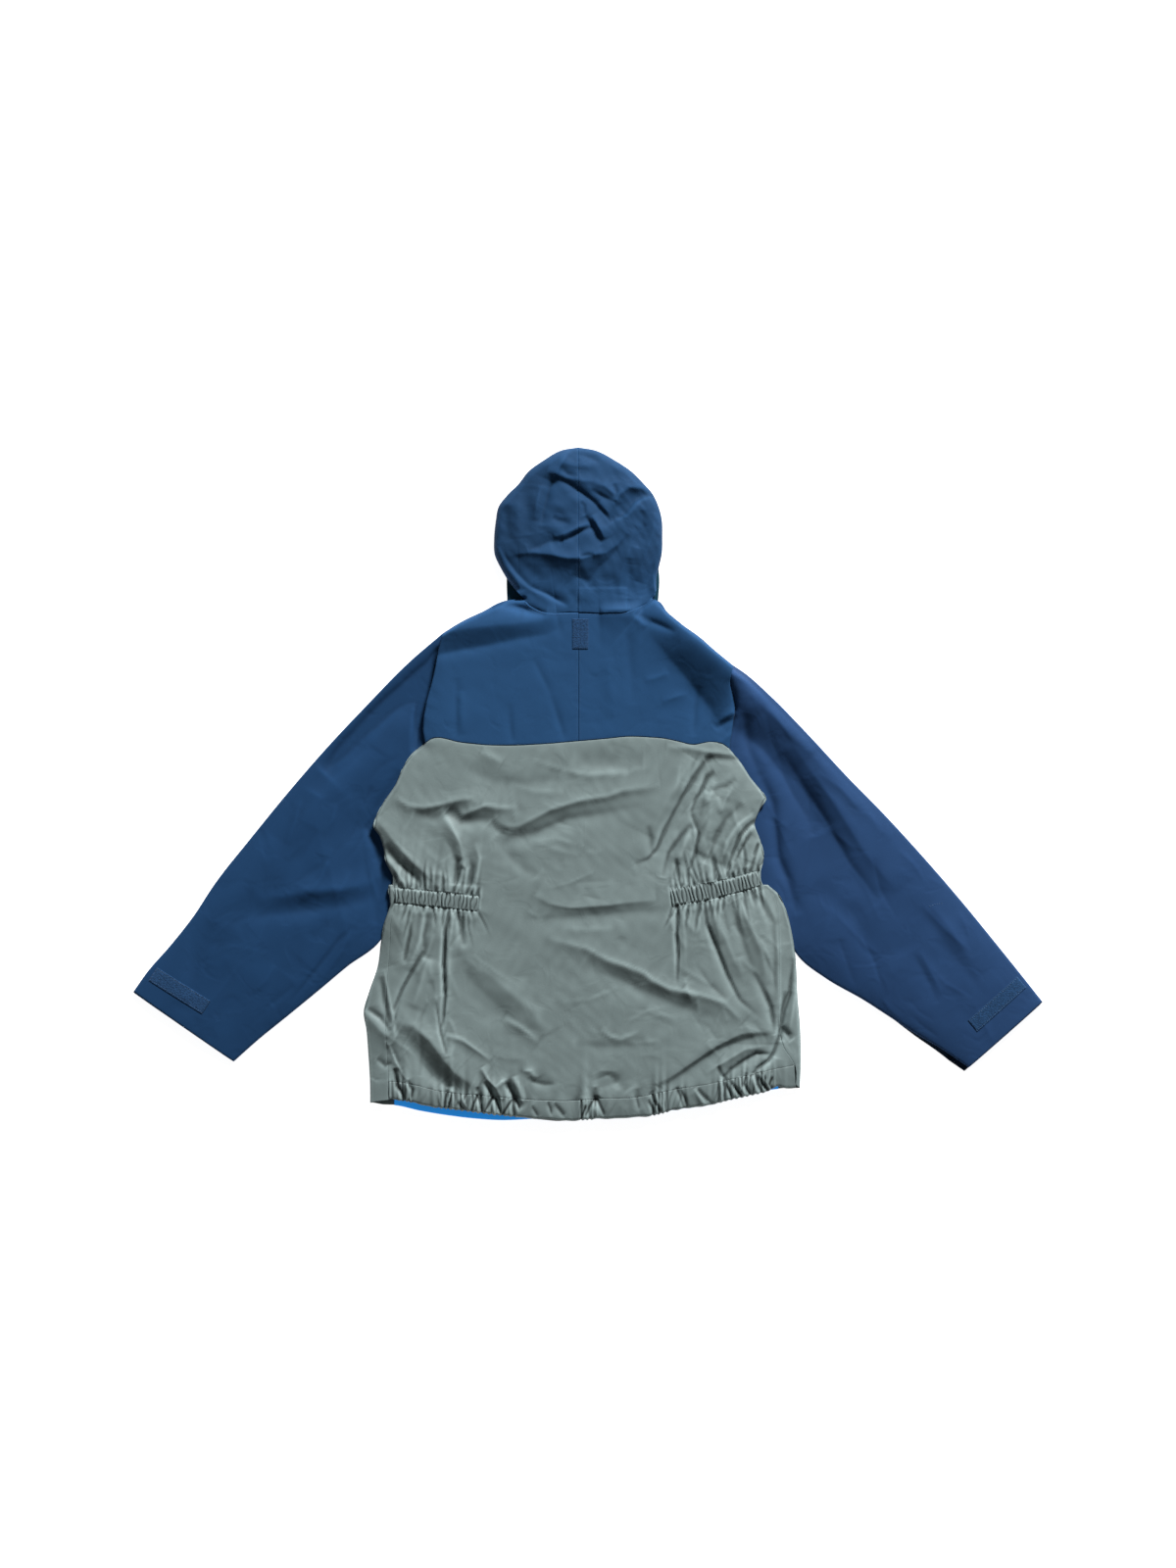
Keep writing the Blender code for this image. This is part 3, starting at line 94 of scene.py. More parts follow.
# Folds: height of the crest in mm (less than 0 for a trough), reach to the left and to the right of
# its line, roundness across (1 is a crisp crest, 2 a soft one), share of the line where it is
# fullest, and the line
BODY_FOLDS = (
    # across the upper back
    (3.6, 14, 5, 1.1, 0.5, ((-292, -18), (-269, -33), (-245, -36), (-221, -31), (-198, -25), (-177, -22),
                            (-162, -30))),
    (-3.2, 9, 12, 1.5, 0.5, ((-262, -44), (-235, -50), (-205, -42), (-178, -34))),
    (3.4, 11, 5, 1.1, 0.4, ((-192, -48), (-156, -33), (-134, -36), (-104, -36))),
    (-4.2, 8, 10, 1.5, 0.4, ((-210, -38), (-190, -55), (-160, -52), (-138, -50))),
    (4.2, 22, 6, 1.1, 0.45, ((-136, -60), (-109, -65), (-85, -53), (-57, -38), (-10, -24), (30, -18),
                              (51, -10), (110, -2))),
    (-3.8, 8, 14, 1.4, 0.3, ((-146, -56), (-120, -79), (-81, -72), (-33, -52), (30, -42), (51, -38),
                              (105, -27))),
    (-2.0, 16, 12, 1.8, 0.5, ((-20, 36), (30, 32), (84, 32))),
    (1.8, 10, 6, 1.2, 0.5, ((-40, 22), (0, 14), (62, 18))),
    (1.6, 8, 8, 1.2, 0.5, ((-160, 50), (-138, 38), (-128, 32))),
    (-1.8, 10, 12, 1.6, 0.5, ((-180, 24), (-140, 6), (-92, 2), (-40, 10))),
    # left side above the waist
    (3.8, 7, 10, 1.1, 0.5, ((-222, -36), (-206, -62), (-192, -89), (-185, -126))),
    (-4.8, 5, 6, 1.5, 0.8, ((-224, -70), (-204, -96), (-197, -118), (-199, -152))),
    (2.6, 5, 5, 1.1, 0.5, ((-192, -116), (-182, -128), (-186, -150))),
    (-3.2, 5, 5, 1.4, 0.7, ((-180, -100), (-174, -126), (-178, -154))),
    (2.8, 6, 6, 1.1, 0.6, ((-170, -88), (-162, -112), (-168, -150))),
    (4.6, 13, 9, 1.2, 0.5, ((-318, -52), (-292, -84), (-262, -118), (-222, -154))),
    (-5.2, 6, 7, 1.4, 0.5, ((-306, -92), (-286, -118), (-262, -138), (-246, -158))),
    (3.0, 6, 6, 1.2, 0.5, ((-304, -108), (-288, -132), (-272, -156))),
    (-3.4, 5, 5, 1.5, 0.7, ((-298, -116), (-292, -136), (-290, -158))),
    (1.8, 8, 8, 1.2, 0.5, ((-240, -134), (-220, -136), (-198, -152))),
    (-1.6, 14, 14, 1.8, 0.5, ((-270, -60), (-236, -80), (-214, -112))),
    (-1.6, 12, 9, 1.6, 0.5, ((-140, -80), (-110, -112), (-78, -140))),
    # across the waist
    (3.2, 18, 6, 1.1, 0.5, ((-80, -166), (-55, -180), (-28, -186), (30, -182), (51, -179), (104, -174))),
    (-2.0, 8, 12, 1.5, 0.5, ((-100, -204), (-33, -202), (30, -196), (63, -193), (126, -190))),
    # below the waist: two long slanting folds
    (3.2, 20, 14, 1.3, 0.6, ((-204, -230), (-174, -268), (-140, -290), (-104, -321), (-78, -343),
                             (-62, -376))),
    (-2.0, 10, 22, 1.8, 0.6, ((-204, -250), (-176, -298), (-140, -333), (-104, -360), (-66, -380))),
    (2.4, 8, 6, 1.2, 0.5, ((-126, -352), (-98, -368), (-74, -388))),
    (4.4, 12, 8, 1.05, 0.55, ((-60, -232), (-1, -247), (30, -265), (58, -274), (84, -284), (98, -296),
                             (122, -308), (149, -314), (171, -318), (206, -329), (234, -358))),
    (-2.6, 9, 14, 1.5, 0.5, ((-2, -264), (30, -284), (66, -300), (100, -317), (140, -335), (196, -352))),
    (1.4, 5, 3, 1.05, 0.5, ((20, -368), (34, -380), (50, -384), (76, -374))),
    (-1.8, 8, 12, 1.6, 0.5, ((-20, -392), (40, -396), (90, -386))),
    # lower right: folds that run down to the hem
    (3.8, 20, 6, 1.15, 0.55, ((84, -458), (122, -442), (155, -420), (194, -394), (230, -376), (284, -370))),
    (-3.4, 6, 12, 1.3, 0.5, ((96, -463), (122, -450), (147, -433), (169, -417), (194, -401), (216, -392),
                             (248, -381), (282, -379))),
    (2.6, 8, 5, 1.2, 0.5, ((176, -436), (206, -418), (236, -400), (270, -394))),
    (-4.6, 3.4, 7, 1.2, 0.5, ((200, -446), (216, -430), (235, -417), (254, -406), (280, -407))),
    (-6.4, 3.4, 3.4, 1.15, 0.5, ((290, -378), (285, -389), (279, -408), (272, -417), (254, -430),
                                 (244, -442))),
    (-3.0, 3, 3, 1.2, 0.5, ((196, -424), (202, -438), (214, -450))),
    (-3.0, 12, 8, 1.6, 0.5, ((14, -456), (46, -446), (60, -462))),
    # pleats that run down from the elastic at the right
    (-8.0, 2.2, 1.8, 1.1, 0.25, ((136, -180), (134, -226), (136, -258), (135, -304))),
    (2.2, 6, 6, 1.1, 0.3, ((148, -182), (146, -222), (147, -290))),
    (-3.6, 3, 3, 1.3, 0.3, ((152, -180), (150, -198), (147, -222))),
    (-5.4, 2.6, 5, 1.1, 0.3, ((175, -178), (180, -211), (194, -245), (210, -286), (229, -323), (262, -352))),
    (1.8, 8, 8, 1.1, 0.4, ((188, -176), (200, -214), (216, -252), (238, -300))),
    (-2.4, 5, 8, 1.4, 0.3, ((214, -172), (226, -212), (240, -252), (256, -296))),
    (2.6, 8, 8, 1.2, 0.4, ((222, -172), (244, -208), (262, -250), (272, -300))),
    (-3.6, 7, 9, 1.4, 0.4, ((240, -160), (264, -180), (281, -210), (284, -262), (283, -330))),
    (-5.2, 4, 6, 1.2, 0.6, ((250, -282), (262, -304), (276, -336), (283, -378))),
    (1.5, 4, 4, 1.1, 0.5, ((286, -190), (287, -270), (288, -330), (287, -380))),
    (-2.6, 10, 14, 1.5, 0.5, ((272, -152), (292, -188), (300, -240))),
    (-7.5, 4, 5, 1.3, 0.6, ((311, -262), (307, -292), (304, -317), (295, -342), (291, -364), (292, -388))),
    (3.4, 6, 6, 1.2, 0.5, ((316, -300), (310, -340), (304, -376))),
    (-5.0, 10, 3, 1.3, 0.5, ((298, -312), (294, -344), (289, -380), (282, -412))),
    (-3.4, 5, 6, 1.3, 0.5, ((292, -366), (302, -378), (308, -386))),
    (5.5, 8, 46, 1.5, 0.5, ((262, -160), (280, -200), (286, -260), (286, -330), (284, -392))),
    # pleats and drapes at the lower left
    (-9.0, 2.4, 1.6, 1.1, 0.42, ((-210, -192), (-215, -225), (-217, -272), (-215, -320), (-219, -366))),
    (2.6, 8, 14, 1.3, 0.4, ((-207, -192), (-208, -240), (-209, -300), (-207, -350))),
    (2.4, 10, 5, 1.1, 0.6, ((-229, -290), (-227, -336), (-223, -376), (-213, -412))),
    (-3.6, 5, 5, 1.4, 0.4, ((-196, -192), (-190, -214), (-186, -244))),
    (-3.4, 6, 6, 1.4, 0.5, ((-238, -192), (-246, -228), (-244, -262))),
    (-3.8, 3.2, 3.2, 1.2, 0.6, ((-266, -206), (-268, -228), (-272, -245), (-276, -268))),
    (3.0, 9, 6, 1.2, 0.5, ((-246, -200), (-252, -236), (-270, -280))),
    (-5.0, 5, 3.4, 1.15, 0.5, ((-247, -250), (-263, -279), (-280, -310), (-293, -342))),
    (4.2, 14, 8, 1.3, 0.5, ((-240, -262), (-250, -300), (-262, -336))),
    (2.8, 3.4, 5, 1.05, 0.5, ((-307, -278), (-300, -319), (-293, -353), (-290, -382))),
    (-3.4, 5, 5, 1.4, 0.5, ((-312, -290), (-306, -330), (-298, -364))),
    # the corner's diagonal ridge, and the wide dark facet beyond it
    (3.8, 13, 12, 1.15, 0.4, ((-338, -342), (-311, -372), (-289, -387), (-269, -401), (-244, -423),
                              (-220, -449))),
    (-3.6, 5, 5, 1.4, 0.4, ((-332, -338), (-312, -352), (-296, -372))),
    (-3.6, 5, 5, 1.4, 0.5, ((-297, -392), (-286, -418), (-274, -446))),
    (9.0, 22, 17, 1.1, 0.5, ((-290, -356), (-261, -364), (-238, -384), (-216, -414), (-199, -434),
                             (-166, -457))),
    (-8.0, 18, 12, 1.5, 0.55, ((-290, -382), (-267, -395), (-249, -417), (-232, -437), (-212, -452),
                               (-180, -466))),
    (-3.4, 3, 3, 1.1, 0.5, ((-228, -326), (-221, -375), (-212, -408))),
    (2.8, 6, 4, 1.05, 0.4, ((-214, -377), (-187, -386), (-159, -406), (-146, -416))),
    # upper right: one-sided folds that fan out from the waist
    (-6.0, 14, 3.4, 1.1, 0.45, ((187, 44), (177, 35), (161, 12), (141, -22), (128, -46), (115, -71),
                                (104, -98), (90, -113), (70, -120))),
    (3.4, 12, 26, 1.3, 0.45, ((158, 40), (140, 12), (122, -18), (106, -48), (92, -76))),
    (-4.4, 5, 3.4, 1.1, 0.5, ((191, 19), (180, 10), (172, -8), (162, -25), (156, -42))),
    (4.6, 34, 13, 1.2, 0.6, ((176, 8), (183, -14), (187, -38), (184, -58), (176, -80), (167, -104))),
    (-2.6, 5, 3, 1.1, 0.5, ((155, -36), (160, -54), (167, -74), (166, -92))),
    (-4.6, 6, 3, 1.1, 0.5, ((167, -72), (162, -104), (152, -130), (150, -150))),
    (-4.6, 8, 8, 1.4, 0.5, ((234, -28), (207, -53), (193, -80), (176, -119))),
    (4.0, 8, 6, 1.1, 0.5, ((250, -44), (228, -62), (210, -88), (200, -120))),
    (-5.8, 5, 3.2, 1.1, 0.5, ((256, -51), (241, -64), (228, -80), (218, -106), (211, -130))),
    (3.4, 4, 4, 1.1, 0.5, ((250, -62), (236, -78), (226, -100))),
    (-3.2, 4, 3, 1.2, 0.5, ((246, -72), (234, -92), (222, -118))),
    (-3.2, 3, 3, 1.2, 0.5, ((234, -90), (237, -106), (239, -124))),
    (-2.6, 3, 3, 1.2, 0.5, ((258, -88), (254, -98), (250, -108))),
    (2.6, 9, 6, 1.1, 0.5, ((118, 56), (150, 55), (184, 48), (220, 46))),
    (-2.6, 3, 9, 1.1, 0.35, ((176, 36), (188, 42), (208, 40), (232, 38))),
    (-1.6, 3, 4, 1.1, 0.5, ((175, -11), (207, -3), (224, 8))),
    (-4.0, 9, 5, 1.2, 0.6, ((160, -56), (139, -80), (122, -104), (113, -140))),
    (2.6, 8, 8, 1.2, 0.5, ((156, -66), (146, -90), (136, -120))),
    (-3.4, 3.2, 3.2, 1.2, 0.5, ((133, -112), (136, -137), (138, -156))),
    (-2.4, 5, 6, 1.5, 0.6, ((90, -62), (96, -84), (98, -106))),
)

# Creases of the drawn hem: they run from the casing's edge up through its seam
HEM_CREASES = (
    (-6.5, 3.0, 3.0, 1.2, 0.5, ((-291, -428), (-286.4, -454.3), (-277.8, -469.5), (-275, -482))),
    (3.6, 6, 3, 1.1, 0.5, ((-304, -386), (-297, -398), (-287.6, -420), (-274, -444), (-268, -462))),
    (-3.4, 2.5, 3, 1.2, 0.4, ((-272, -446), (-263.7, -460.8), (-264.8, -474))),
    (2.6, 3, 3, 1.1, 0.5, ((-276, -448), (-270, -462), (-270, -476))),
    (-2.6, 5, 4, 1.3, 0.5, ((-318, -414), (-305, -424), (-294, -420))),
    (-4.4, 2.2, 2.2, 1.2, 0.5, ((-211, -460), (-214, -474), (-217, -492))),
    (3.2, 3, 3, 1.1, 0.5, ((-207, -456), (-209, -472), (-213, -490))),
    (-3.8, 2.2, 2.2, 1.2, 0.5, ((-204, -464), (-207, -476), (-211, -490))),
    (-3.0, 3, 3, 1.2, 0.5, ((-196, -478), (-188, -488), (-180, -496))),
    (3.4, 4, 3, 1.1, 0.5, ((-190, -468), (-184, -484), (-178, -498))),
    (-4.6, 2.4, 2.4, 1.2, 0.5, ((-165, -468), (-171, -480), (-177, -498))),
    (-4.6, 2.4, 2.4, 1.2, 0.5, ((-167, -466), (-161, -482), (-157, -502))),
    (3.4, 4, 4, 1.1, 0.6, ((-166, -474), (-166, -486), (-167, -500))),
    (-4.0, 2.4, 2.4, 1.2, 0.5, ((-142, -470), (-150, -484), (-158, -500))),
    (-4.4, 2.4, 2.4, 1.2, 0.5, ((-143, -470), (-135, -484), (-127, -504))),
    (3.4, 4, 4, 1.1, 0.6, ((-142, -476), (-142, -490), (-142, -502))),
    (-3.8, 2.4, 2.4, 1.2, 0.5, ((-113, -474), (-121, -486), (-131, -503))),
    (-5.4, 2.6, 2.6, 1.2, 0.5, ((-112, -464), (-112, -484), (-111, -508))),
    (-8.0, 3.4, 3.4, 1.15, 0.55, ((-124, -446), (-119, -456), (-109, -472), (-102, -490))),
    (4.0, 5, 3, 1.1, 0.5, ((-112, -440), (-104, -458), (-97, -480))),
    (-4.6, 3.2, 3.2, 1.2, 0.5, ((-156, -448), (-150, -458), (-137, -476), (-134, -494))),
    (4.4, 6, 4, 1.1, 0.5, ((-160, -426), (-150, -444), (-137, -460), (-129, -476))),
    (-3.6, 3, 3, 1.2, 0.5, ((-166, -456), (-163, -468), (-161, -480))),
    (4.2, 6, 5, 1.05, 0.5, ((-140, -458), (-128, -448), (-120, -450))),
    (-2.4, 3, 3, 1.2, 0.5, ((-60, -478), (-56, -488), (-54, -498))),
    (-2.6, 3, 4, 1.2, 0.5, ((-50, -480), (-42, -490), (-34, -500))),
    (-2.0, 3, 3, 1.2, 0.5, ((-84, -484), (-78, -494), (-74, -502))),
    (-3.6, 2.6, 2.6, 1.2, 0.4, ((-2, -484), (-7, -496), (-10, -508))),
    (-3.8, 2.4, 2.4, 1.2, 0.5, ((11, -456), (11, -472), (12, -488))),
    (-4.2, 2.6, 2.6, 1.2, 0.4, ((12, -470), (3, -486), (-4, -502))),
    (-4.0, 2.6, 2.6, 1.2, 0.4, ((12, -470), (19, -484), (26, -500))),
    (3.4, 4, 4, 1.1, 0.6, ((13, -476), (14, -490), (14, -506))),
    (-2.2, 3, 3, 1.2, 0.5, ((74.5, -458), (74.5, -474), (78, -490))),
    (-4.4, 3, 3, 1.15, 0.5, ((96, -462), (100, -476), (110, -492), (114, -502))),
    (-3.6, 2.6, 2.6, 1.2, 0.5, ((92, -474), (98, -488), (100, -502))),
    (3.2, 4, 4, 1.1, 0.5, ((104, -468), (108, -484), (118, -498))),
    (-3.0, 3, 3, 1.2, 0.5, ((133, -456), (140, -470), (145, -492))),
    (-3.0, 3, 3, 1.2, 0.5, ((139, -458), (147, -474), (152, -494))),
    (-3.0, 3, 4, 1.2, 0.5, ((166, -458), (176, -470), (190, -484))),
    (2.6, 4, 4, 1.1, 0.5, ((160, -458), (168, -470), (178, -486))),
    (-4.6, 2.2, 2.2, 1.2, 0.5, ((204, -444), (207, -458), (207, -480))),
    (-4.2, 2.2, 2.2, 1.2, 0.5, ((208, -448), (213, -462), (221, -480))),
    (3.2, 3, 3, 1.1, 0.5, ((200, -446), (202, -462), (200, -482))),
    (-4.2, 2.2, 2.2, 1.2, 0.5, ((216, -448), (224, -460), (235, -474))),
    (-4.8, 2.2, 2.2, 1.2, 0.5, ((238, -434), (236, -452), (248, -474))),
    (3.4, 3, 3, 1.1, 0.5, ((230, -440), (230, -456), (240, -474))),
    (-6.0, 2.4, 2.4, 1.2, 0.5, ((252, -432), (257, -452), (266, -472))),
    (-4.8, 2.2, 2.2, 1.2, 0.5, ((258, -440), (265, -454), (274, -468))),
    (3.4, 3, 3, 1.1, 0.5, ((247, -436), (252, -454), (258, -472))),
    (-4.4, 2.2, 2.2, 1.2, 0.5, ((267, -438), (267, -452), (278, -468))),
    (-3.8, 2.2, 2.2, 1.2, 0.5, ((279, -440), (274, -452), (280, -466))),
    (3.0, 3, 3, 1.1, 0.5, ((262, -438), (270, -454), (280, -466))),
    (-1.1, 4, 4, 1.2, 0.5, ((8, -448), (12, -444), (30, -437), (40, -442), (47, -458))),
    (0.9, 6, 5, 1.1, 0.5, ((2, -440), (20, -431), (42, -432), (54, -446))),
    (2.6, 6, 4, 1.1, 0.5, ((-98, -432), (-86, -432), (-78, -444))),
    (-2.6, 5, 5, 1.2, 0.5, ((-88, -440), (-82, -448), (-66, -452), (-50, -452))),
)

# Elastic at the waist: top and bottom of each casing, the number of its gathers, and how far they
# lean along it, in gathers
ELASTIC = {
    "left": (((-292.5, -155), (-227, -161), (-161, -167)), ((-290.5, -180), (-235, -186), (-164, -194)),
             20, -0.45),
    "right": (((122, -154), (195, -145), (233, -136), (258, -129)),
              ((127, -188), (174, -179), (211, -169), (261, -154)), 24, 0.35),
}
# Gathers along the hem: x, and how many gathers lie to the left of it
HEM_GATHERS = ((-300, 0.0), (-289, 1.0), (-265, 5.0), (-226, 7.0), (-205, 10.0), (-187, 12.0), (-106, 22.0),
               (-12, 25.0), (8, 28.0), (96, 31.0), (122, 35.0), (195, 39.0), (283, 50.0), (314.5, 52.0))
HEM_KNOTS = np.array(HEM_GATHERS)
HEM_CENTRES = (HEM_KNOTS[1:, 0] + HEM_KNOTS[:-1, 0]) / 2
HEM_CROWDING = np.diff(HEM_KNOTS[:, 1]) / np.diff(HEM_KNOTS[:, 0])   # gathers to a millimetre
FULL_CROWDING = 0.12      # the same where the hem is drawn in fully
PINCH_START = 7           # how far inside the casing's edge a crease starts
PINCH_CREST = 3.2         # how far along the elastic its crest lies from its trough


def elastic_pinches():
    """Creases that run out from each gather of the elastic, above and below it: a narrow trough
    in every gather and a crest beside it, uneven in length and depth, which fan out a little."""
    dice = np.random.default_rng(12)
    rows = []
    for top, bottom, count, _ in ELASTIC.values():
        for edge, out in ((top, 1.0), (bottom, -1.0)):
            edge = np.array(edge, float)
            places = np.column_stack([np.interp(np.arange(count) + 0.5 + dice.uniform(-0.2, 0.2, count),
                                                np.linspace(0, count, len(edge)), edge[:, axis])
                                      for axis in (0, 1)])
            spread = np.linspace(-1, 1, count) * 0.30 + dice.uniform(-0.22, 0.22, count)
            lengths = 18 + 46 * dice.uniform(0, 1, count) ** 2.0
            depths = dice.uniform(1.2, 3.8, count)
            for place, aside, length, depth in zip(places, spread, lengths, depths):
                bend = dice.uniform(-0.1, 0.1)
                for shift, height, reach in ((0.0, -depth, 1.5 + depth / 4),
                                             (PINCH_CREST, 0.32 * depth, 2.8)):
                    start = place + (shift, -PINCH_START * out)
                    middle = start + length * 0.5 * np.array((aside + bend, out))
                    end = start + length * np.array((aside, out))
                    rows.append((height, reach, reach, 1.2, 0.22, (tuple(start), tuple(middle), tuple(end))))
    return tuple(rows)


def stray_creases(seed, count, corners, angles, length, height):
    """Small creases left by handling: short lines with a slight bend, scattered in a box, with
    angles (in degrees), lengths and heights drawn from the given ranges. A third are troughs."""
    dice = np.random.default_rng(seed)
    rows = []
    for number in range(count):
        middle = dice.uniform(corners[0], corners[1])
        angle = np.radians(dice.uniform(*angles))
        half = dice.uniform(*length) / 2 * np.array((np.cos(angle), np.sin(angle)))
        bend = dice.uniform(-0.18, 0.18) * np.array((-half[1], half[0]))
        rise = dice.uniform(*height) * (-0.8 if number % 3 == 0 else 1.0)
        reach = 2.5 + 3.0 * abs(rise) + dice.uniform(0, 3)
        steep = dice.uniform(0.45, 0.9)
        line = (tuple(middle - half), tuple(middle + bend), tuple(middle + half))
        rows.append((rise, reach, reach * steep, 1.1, dice.uniform(0.35, 0.65), line))
    return tuple(rows)


BODY_FOLDS = (BODY_FOLDS + HEM_CREASES + elastic_pinches()
              + stray_creases(5, 34, ((-230, -440), (250, 50)), (-40, 20), (24, 90), (0.3, 0.9))
              + stray_creases(6, 20, ((-300, -430), (-200, -200)), (50, 120), (24, 80), (0.5, 1.4))
              + stray_creases(7, 22, ((130, -400), (290, -200)), (-80, -40), (24, 80), (0.5, 1.5))
              + stray_creases(8, 18, ((120, -140), (250, 30)), (50, 110), (20, 60), (0.6, 1.6)))

EDGE_ROLL = 3.5           # how high the cloth rolls at a folded edge
BODY_LOFT = 11.5          # how far the back stands up inside its edges
LOFT_REACH = 45           # how far in from an edge it takes to rise
SHOULDER_HEIGHT = 2.8
SHOULDER_ROLL = 7.0
HEM_HEIGHT = 11.5
CROWN = 4.0               # extra height in the middle of the back
CROWN_Y = -150            # where that is, and how far it reaches across and along
CROWN_REACH = (200, 250)
CASING_DEPTH = 25         # width of the elastic casings and of the hem casing
BAND_SINK = 2.6           # how far the elastic draws the cloth down
LOWEST = 9.7              # no trough of the back goes below this over a sleeve
LOWEST_BESIDE = 4.0       # and none below this elsewhere
FOLDS_FROM = 4.2          # plain height from which the folds show, and the rise to their full height
FOLDS_RISE = 4.5


def run_shares(line):
    """How far along a line each of its points lies, as a share of its whole length."""
    steps = np.linalg.norm(np.diff(np.asarray(line, float)[:, :2], axis=0), axis=1)
    return np.concatenate(([0.0], np.cumsum(steps))) / steps.sum()


def smooth_rows(keys, rows, at):
    """Rows of numbers read between their keys: a cubic from each row to the next, whose slope at a
    row is the one that its two neighbours give it."""
    keys, rows, at = (np.asarray(values, float) for values in (keys, rows, at))
    slopes = np.gradient(rows, keys, axis=0)
    first = np.clip(np.searchsorted(keys, at) - 1, 0, len(keys) - 2)
    shape = at.shape + (1,) * (rows.ndim - 1)
    span = (keys[first + 1] - keys[first]).reshape(shape)
    t = (at - keys[first]).reshape(shape) / span
    rise = rows[first + 1] - rows[first]
    bend_in = slopes[first] * span - rise
    bend_out = rise - slopes[first + 1] * span
    return rows[first] + rise * t + t * (1 - t) * (bend_in * (1 - t) + bend_out * t)


def curve(line, shares):
    """Points on a smooth curve through a line's points, at shares of its length."""
    return smooth_rows(run_shares(line), line, shares)


def side_value(table, y, column):
    """One column of a side's table at each y."""
    rows = np.asarray(table, float)
    return smooth_rows(rows[:, 0], rows[:, column], np.clip(y, rows[0, 0], rows[-1, 0]))


def beside(line, x, y):
    """For each point its distance from a bent line, the share of the line that is nearest, and
    +1 where it lies on the line's left, -1 on its right."""
    line = np.asarray(line, float)[:, :2]
    shares = run_shares(line)
    away = np.full(np.shape(x), np.inf)
    run = np.zeros(np.shape(x))
    side = np.ones(np.shape(x))
    for start, end, low, high in zip(line[:-1], line[1:], shares[:-1], shares[1:]):
        step = end - start
        t = np.clip(((x - start[0]) * step[0] + (y - start[1]) * step[1]) / (step @ step), 0, 1)
        gap = np.hypot(x - start[0] - t * step[0], y - start[1] - t * step[1])
        cross = step[0] * (y - start[1]) - step[1] * (x - start[0])
        near = gap < away
        away = np.where(near, gap, away)
        run = np.where(near, low + (high - low) * t, run)
        side = np.where(near, np.where(cross < 0, -1.0, 1.0), side)
    return away, run, side


def ease(value, low, high):
    """0 below low, 1 above high, and a smooth S between them."""
    t = np.clip((value - low) / (high - low), 0, 1)
    return t * t * (3 - 2 * t)


def fades(run, first, last):
    """1 along a line and 0 at both its ends, over the given shares of it."""
    return ease(run, 0.0, first) * ease(1 - run, 0.0, last)


def folds_at(table, x, y, gain=1.0):
    """Sum of the folds. Across its line a fold is e to the minus (distance / reach) to the power of
    its roundness, with the very crest rounded off. Along it, it swells as half a sine wave, bent so
    that it is fullest at the share given; one that is fullest near its start tapers off slowly. Points
    more than five reaches off are left out."""
    total = np.zeros(np.shape(x))
    blunt = 0.12
    for height, left, right, roundness, fullest, line in table:
        low, high = np.min(line, axis=0), np.max(line, axis=0)
        margin = 5 * max(left, right)
        near = ((x > low[0] - margin) & (x < high[0] + margin)
                & (y > low[1] - margin) & (y < high[1] + margin))
        away, run, side = beside(line, x[near], y[near])
        distance = np.hypot(away / np.where(side > 0, left, right), blunt) - blunt
        taper = 0.6 if fullest > 0.3 else 1.1
        swell = np.clip(np.sin(np.pi * run ** (np.log(0.5) / np.log(fullest))), 0, 1) ** taper
        total[near] += gain * height * np.exp(-distance ** roundness) * swell
    return total


def uneven(x, y, size, seed):
    """Uneven soft waves between -1 and 1: sines in many directions, each with its own length near
    the given size, on coordinates that other long sines have already bent."""
    dice = np.random.default_rng(seed)
    total = np.zeros(np.shape(x))
    bend_x = np.sin(y / (2.1 * size) + dice.uniform(0, 6)) * size * 0.7
    bend_y = np.sin(x / (1.8 * size) + dice.uniform(0, 6)) * size * 0.7
    for _ in range(12):
        angle = dice.uniform(0, np.pi)
        length = size * dice.uniform(0.7, 1.6)
        along = (x + bend_x) * np.cos(angle) + (y + bend_y) * np.sin(angle)
        total += np.sin(2 * np.pi * along / length + dice.uniform(0, 6))
    return np.clip(total / 5, -1.2, 1.2)


def rolled(away, radius):
    """A quarter round: 0 at the edge and 1 from the radius inwards."""
    return np.sqrt(np.clip(1 - (1 - np.clip(away / radius, 0, 1)) ** 2, 0, 1))


def edge_rise(away, rim, roll=EDGE_ROLL):
    """Height at a distance from an edge: its rim, a small roll and then the slow rise."""
    loft = BODY_LOFT + EDGE_ROLL - roll
    return rim + roll * rolled(away, roll) + loft * (1 - np.exp(-away / LOFT_REACH))


def softest_low(heights, blend=1.2):
    """The lowest of several heights, with the change from one to the next rounded off."""
    stack = np.stack(heights)
    lowest = stack.min(axis=0)
    return lowest - blend * np.log(np.exp(-(stack - lowest) / blend).sum(axis=0))


SIDE_LINE_LEFT = tuple((row[1], row[0]) for row in SIDE_LEFT) + ARMHOLE_LEFT[6::-1]
SIDE_LINE_RIGHT = tuple((row[1], row[0]) for row in SIDE_RIGHT) + ARMHOLE_RIGHT[4::-1]


def plain_rise(x, y):
    """Height of the back without folds: up from its sides, shoulders and hem to one broad crown."""
    heights = []
    for line, table in ((SIDE_LINE_LEFT, SIDE_LEFT), (SIDE_LINE_RIGHT, SIDE_RIGHT)):
        heights.append(edge_rise(beside(line, x, y)[0], side_value(table, y, 4)))
    for line in (SHOULDER_LEFT, SHOULDER_RIGHT):
        heights.append(edge_rise(beside(line, x, y)[0], SHOULDER_HEIGHT, SHOULDER_ROLL))
    heights.append(edge_rise(beside(HEM_EDGE, x, y)[0], HEM_HEIGHT))
    return softest_low(heights)


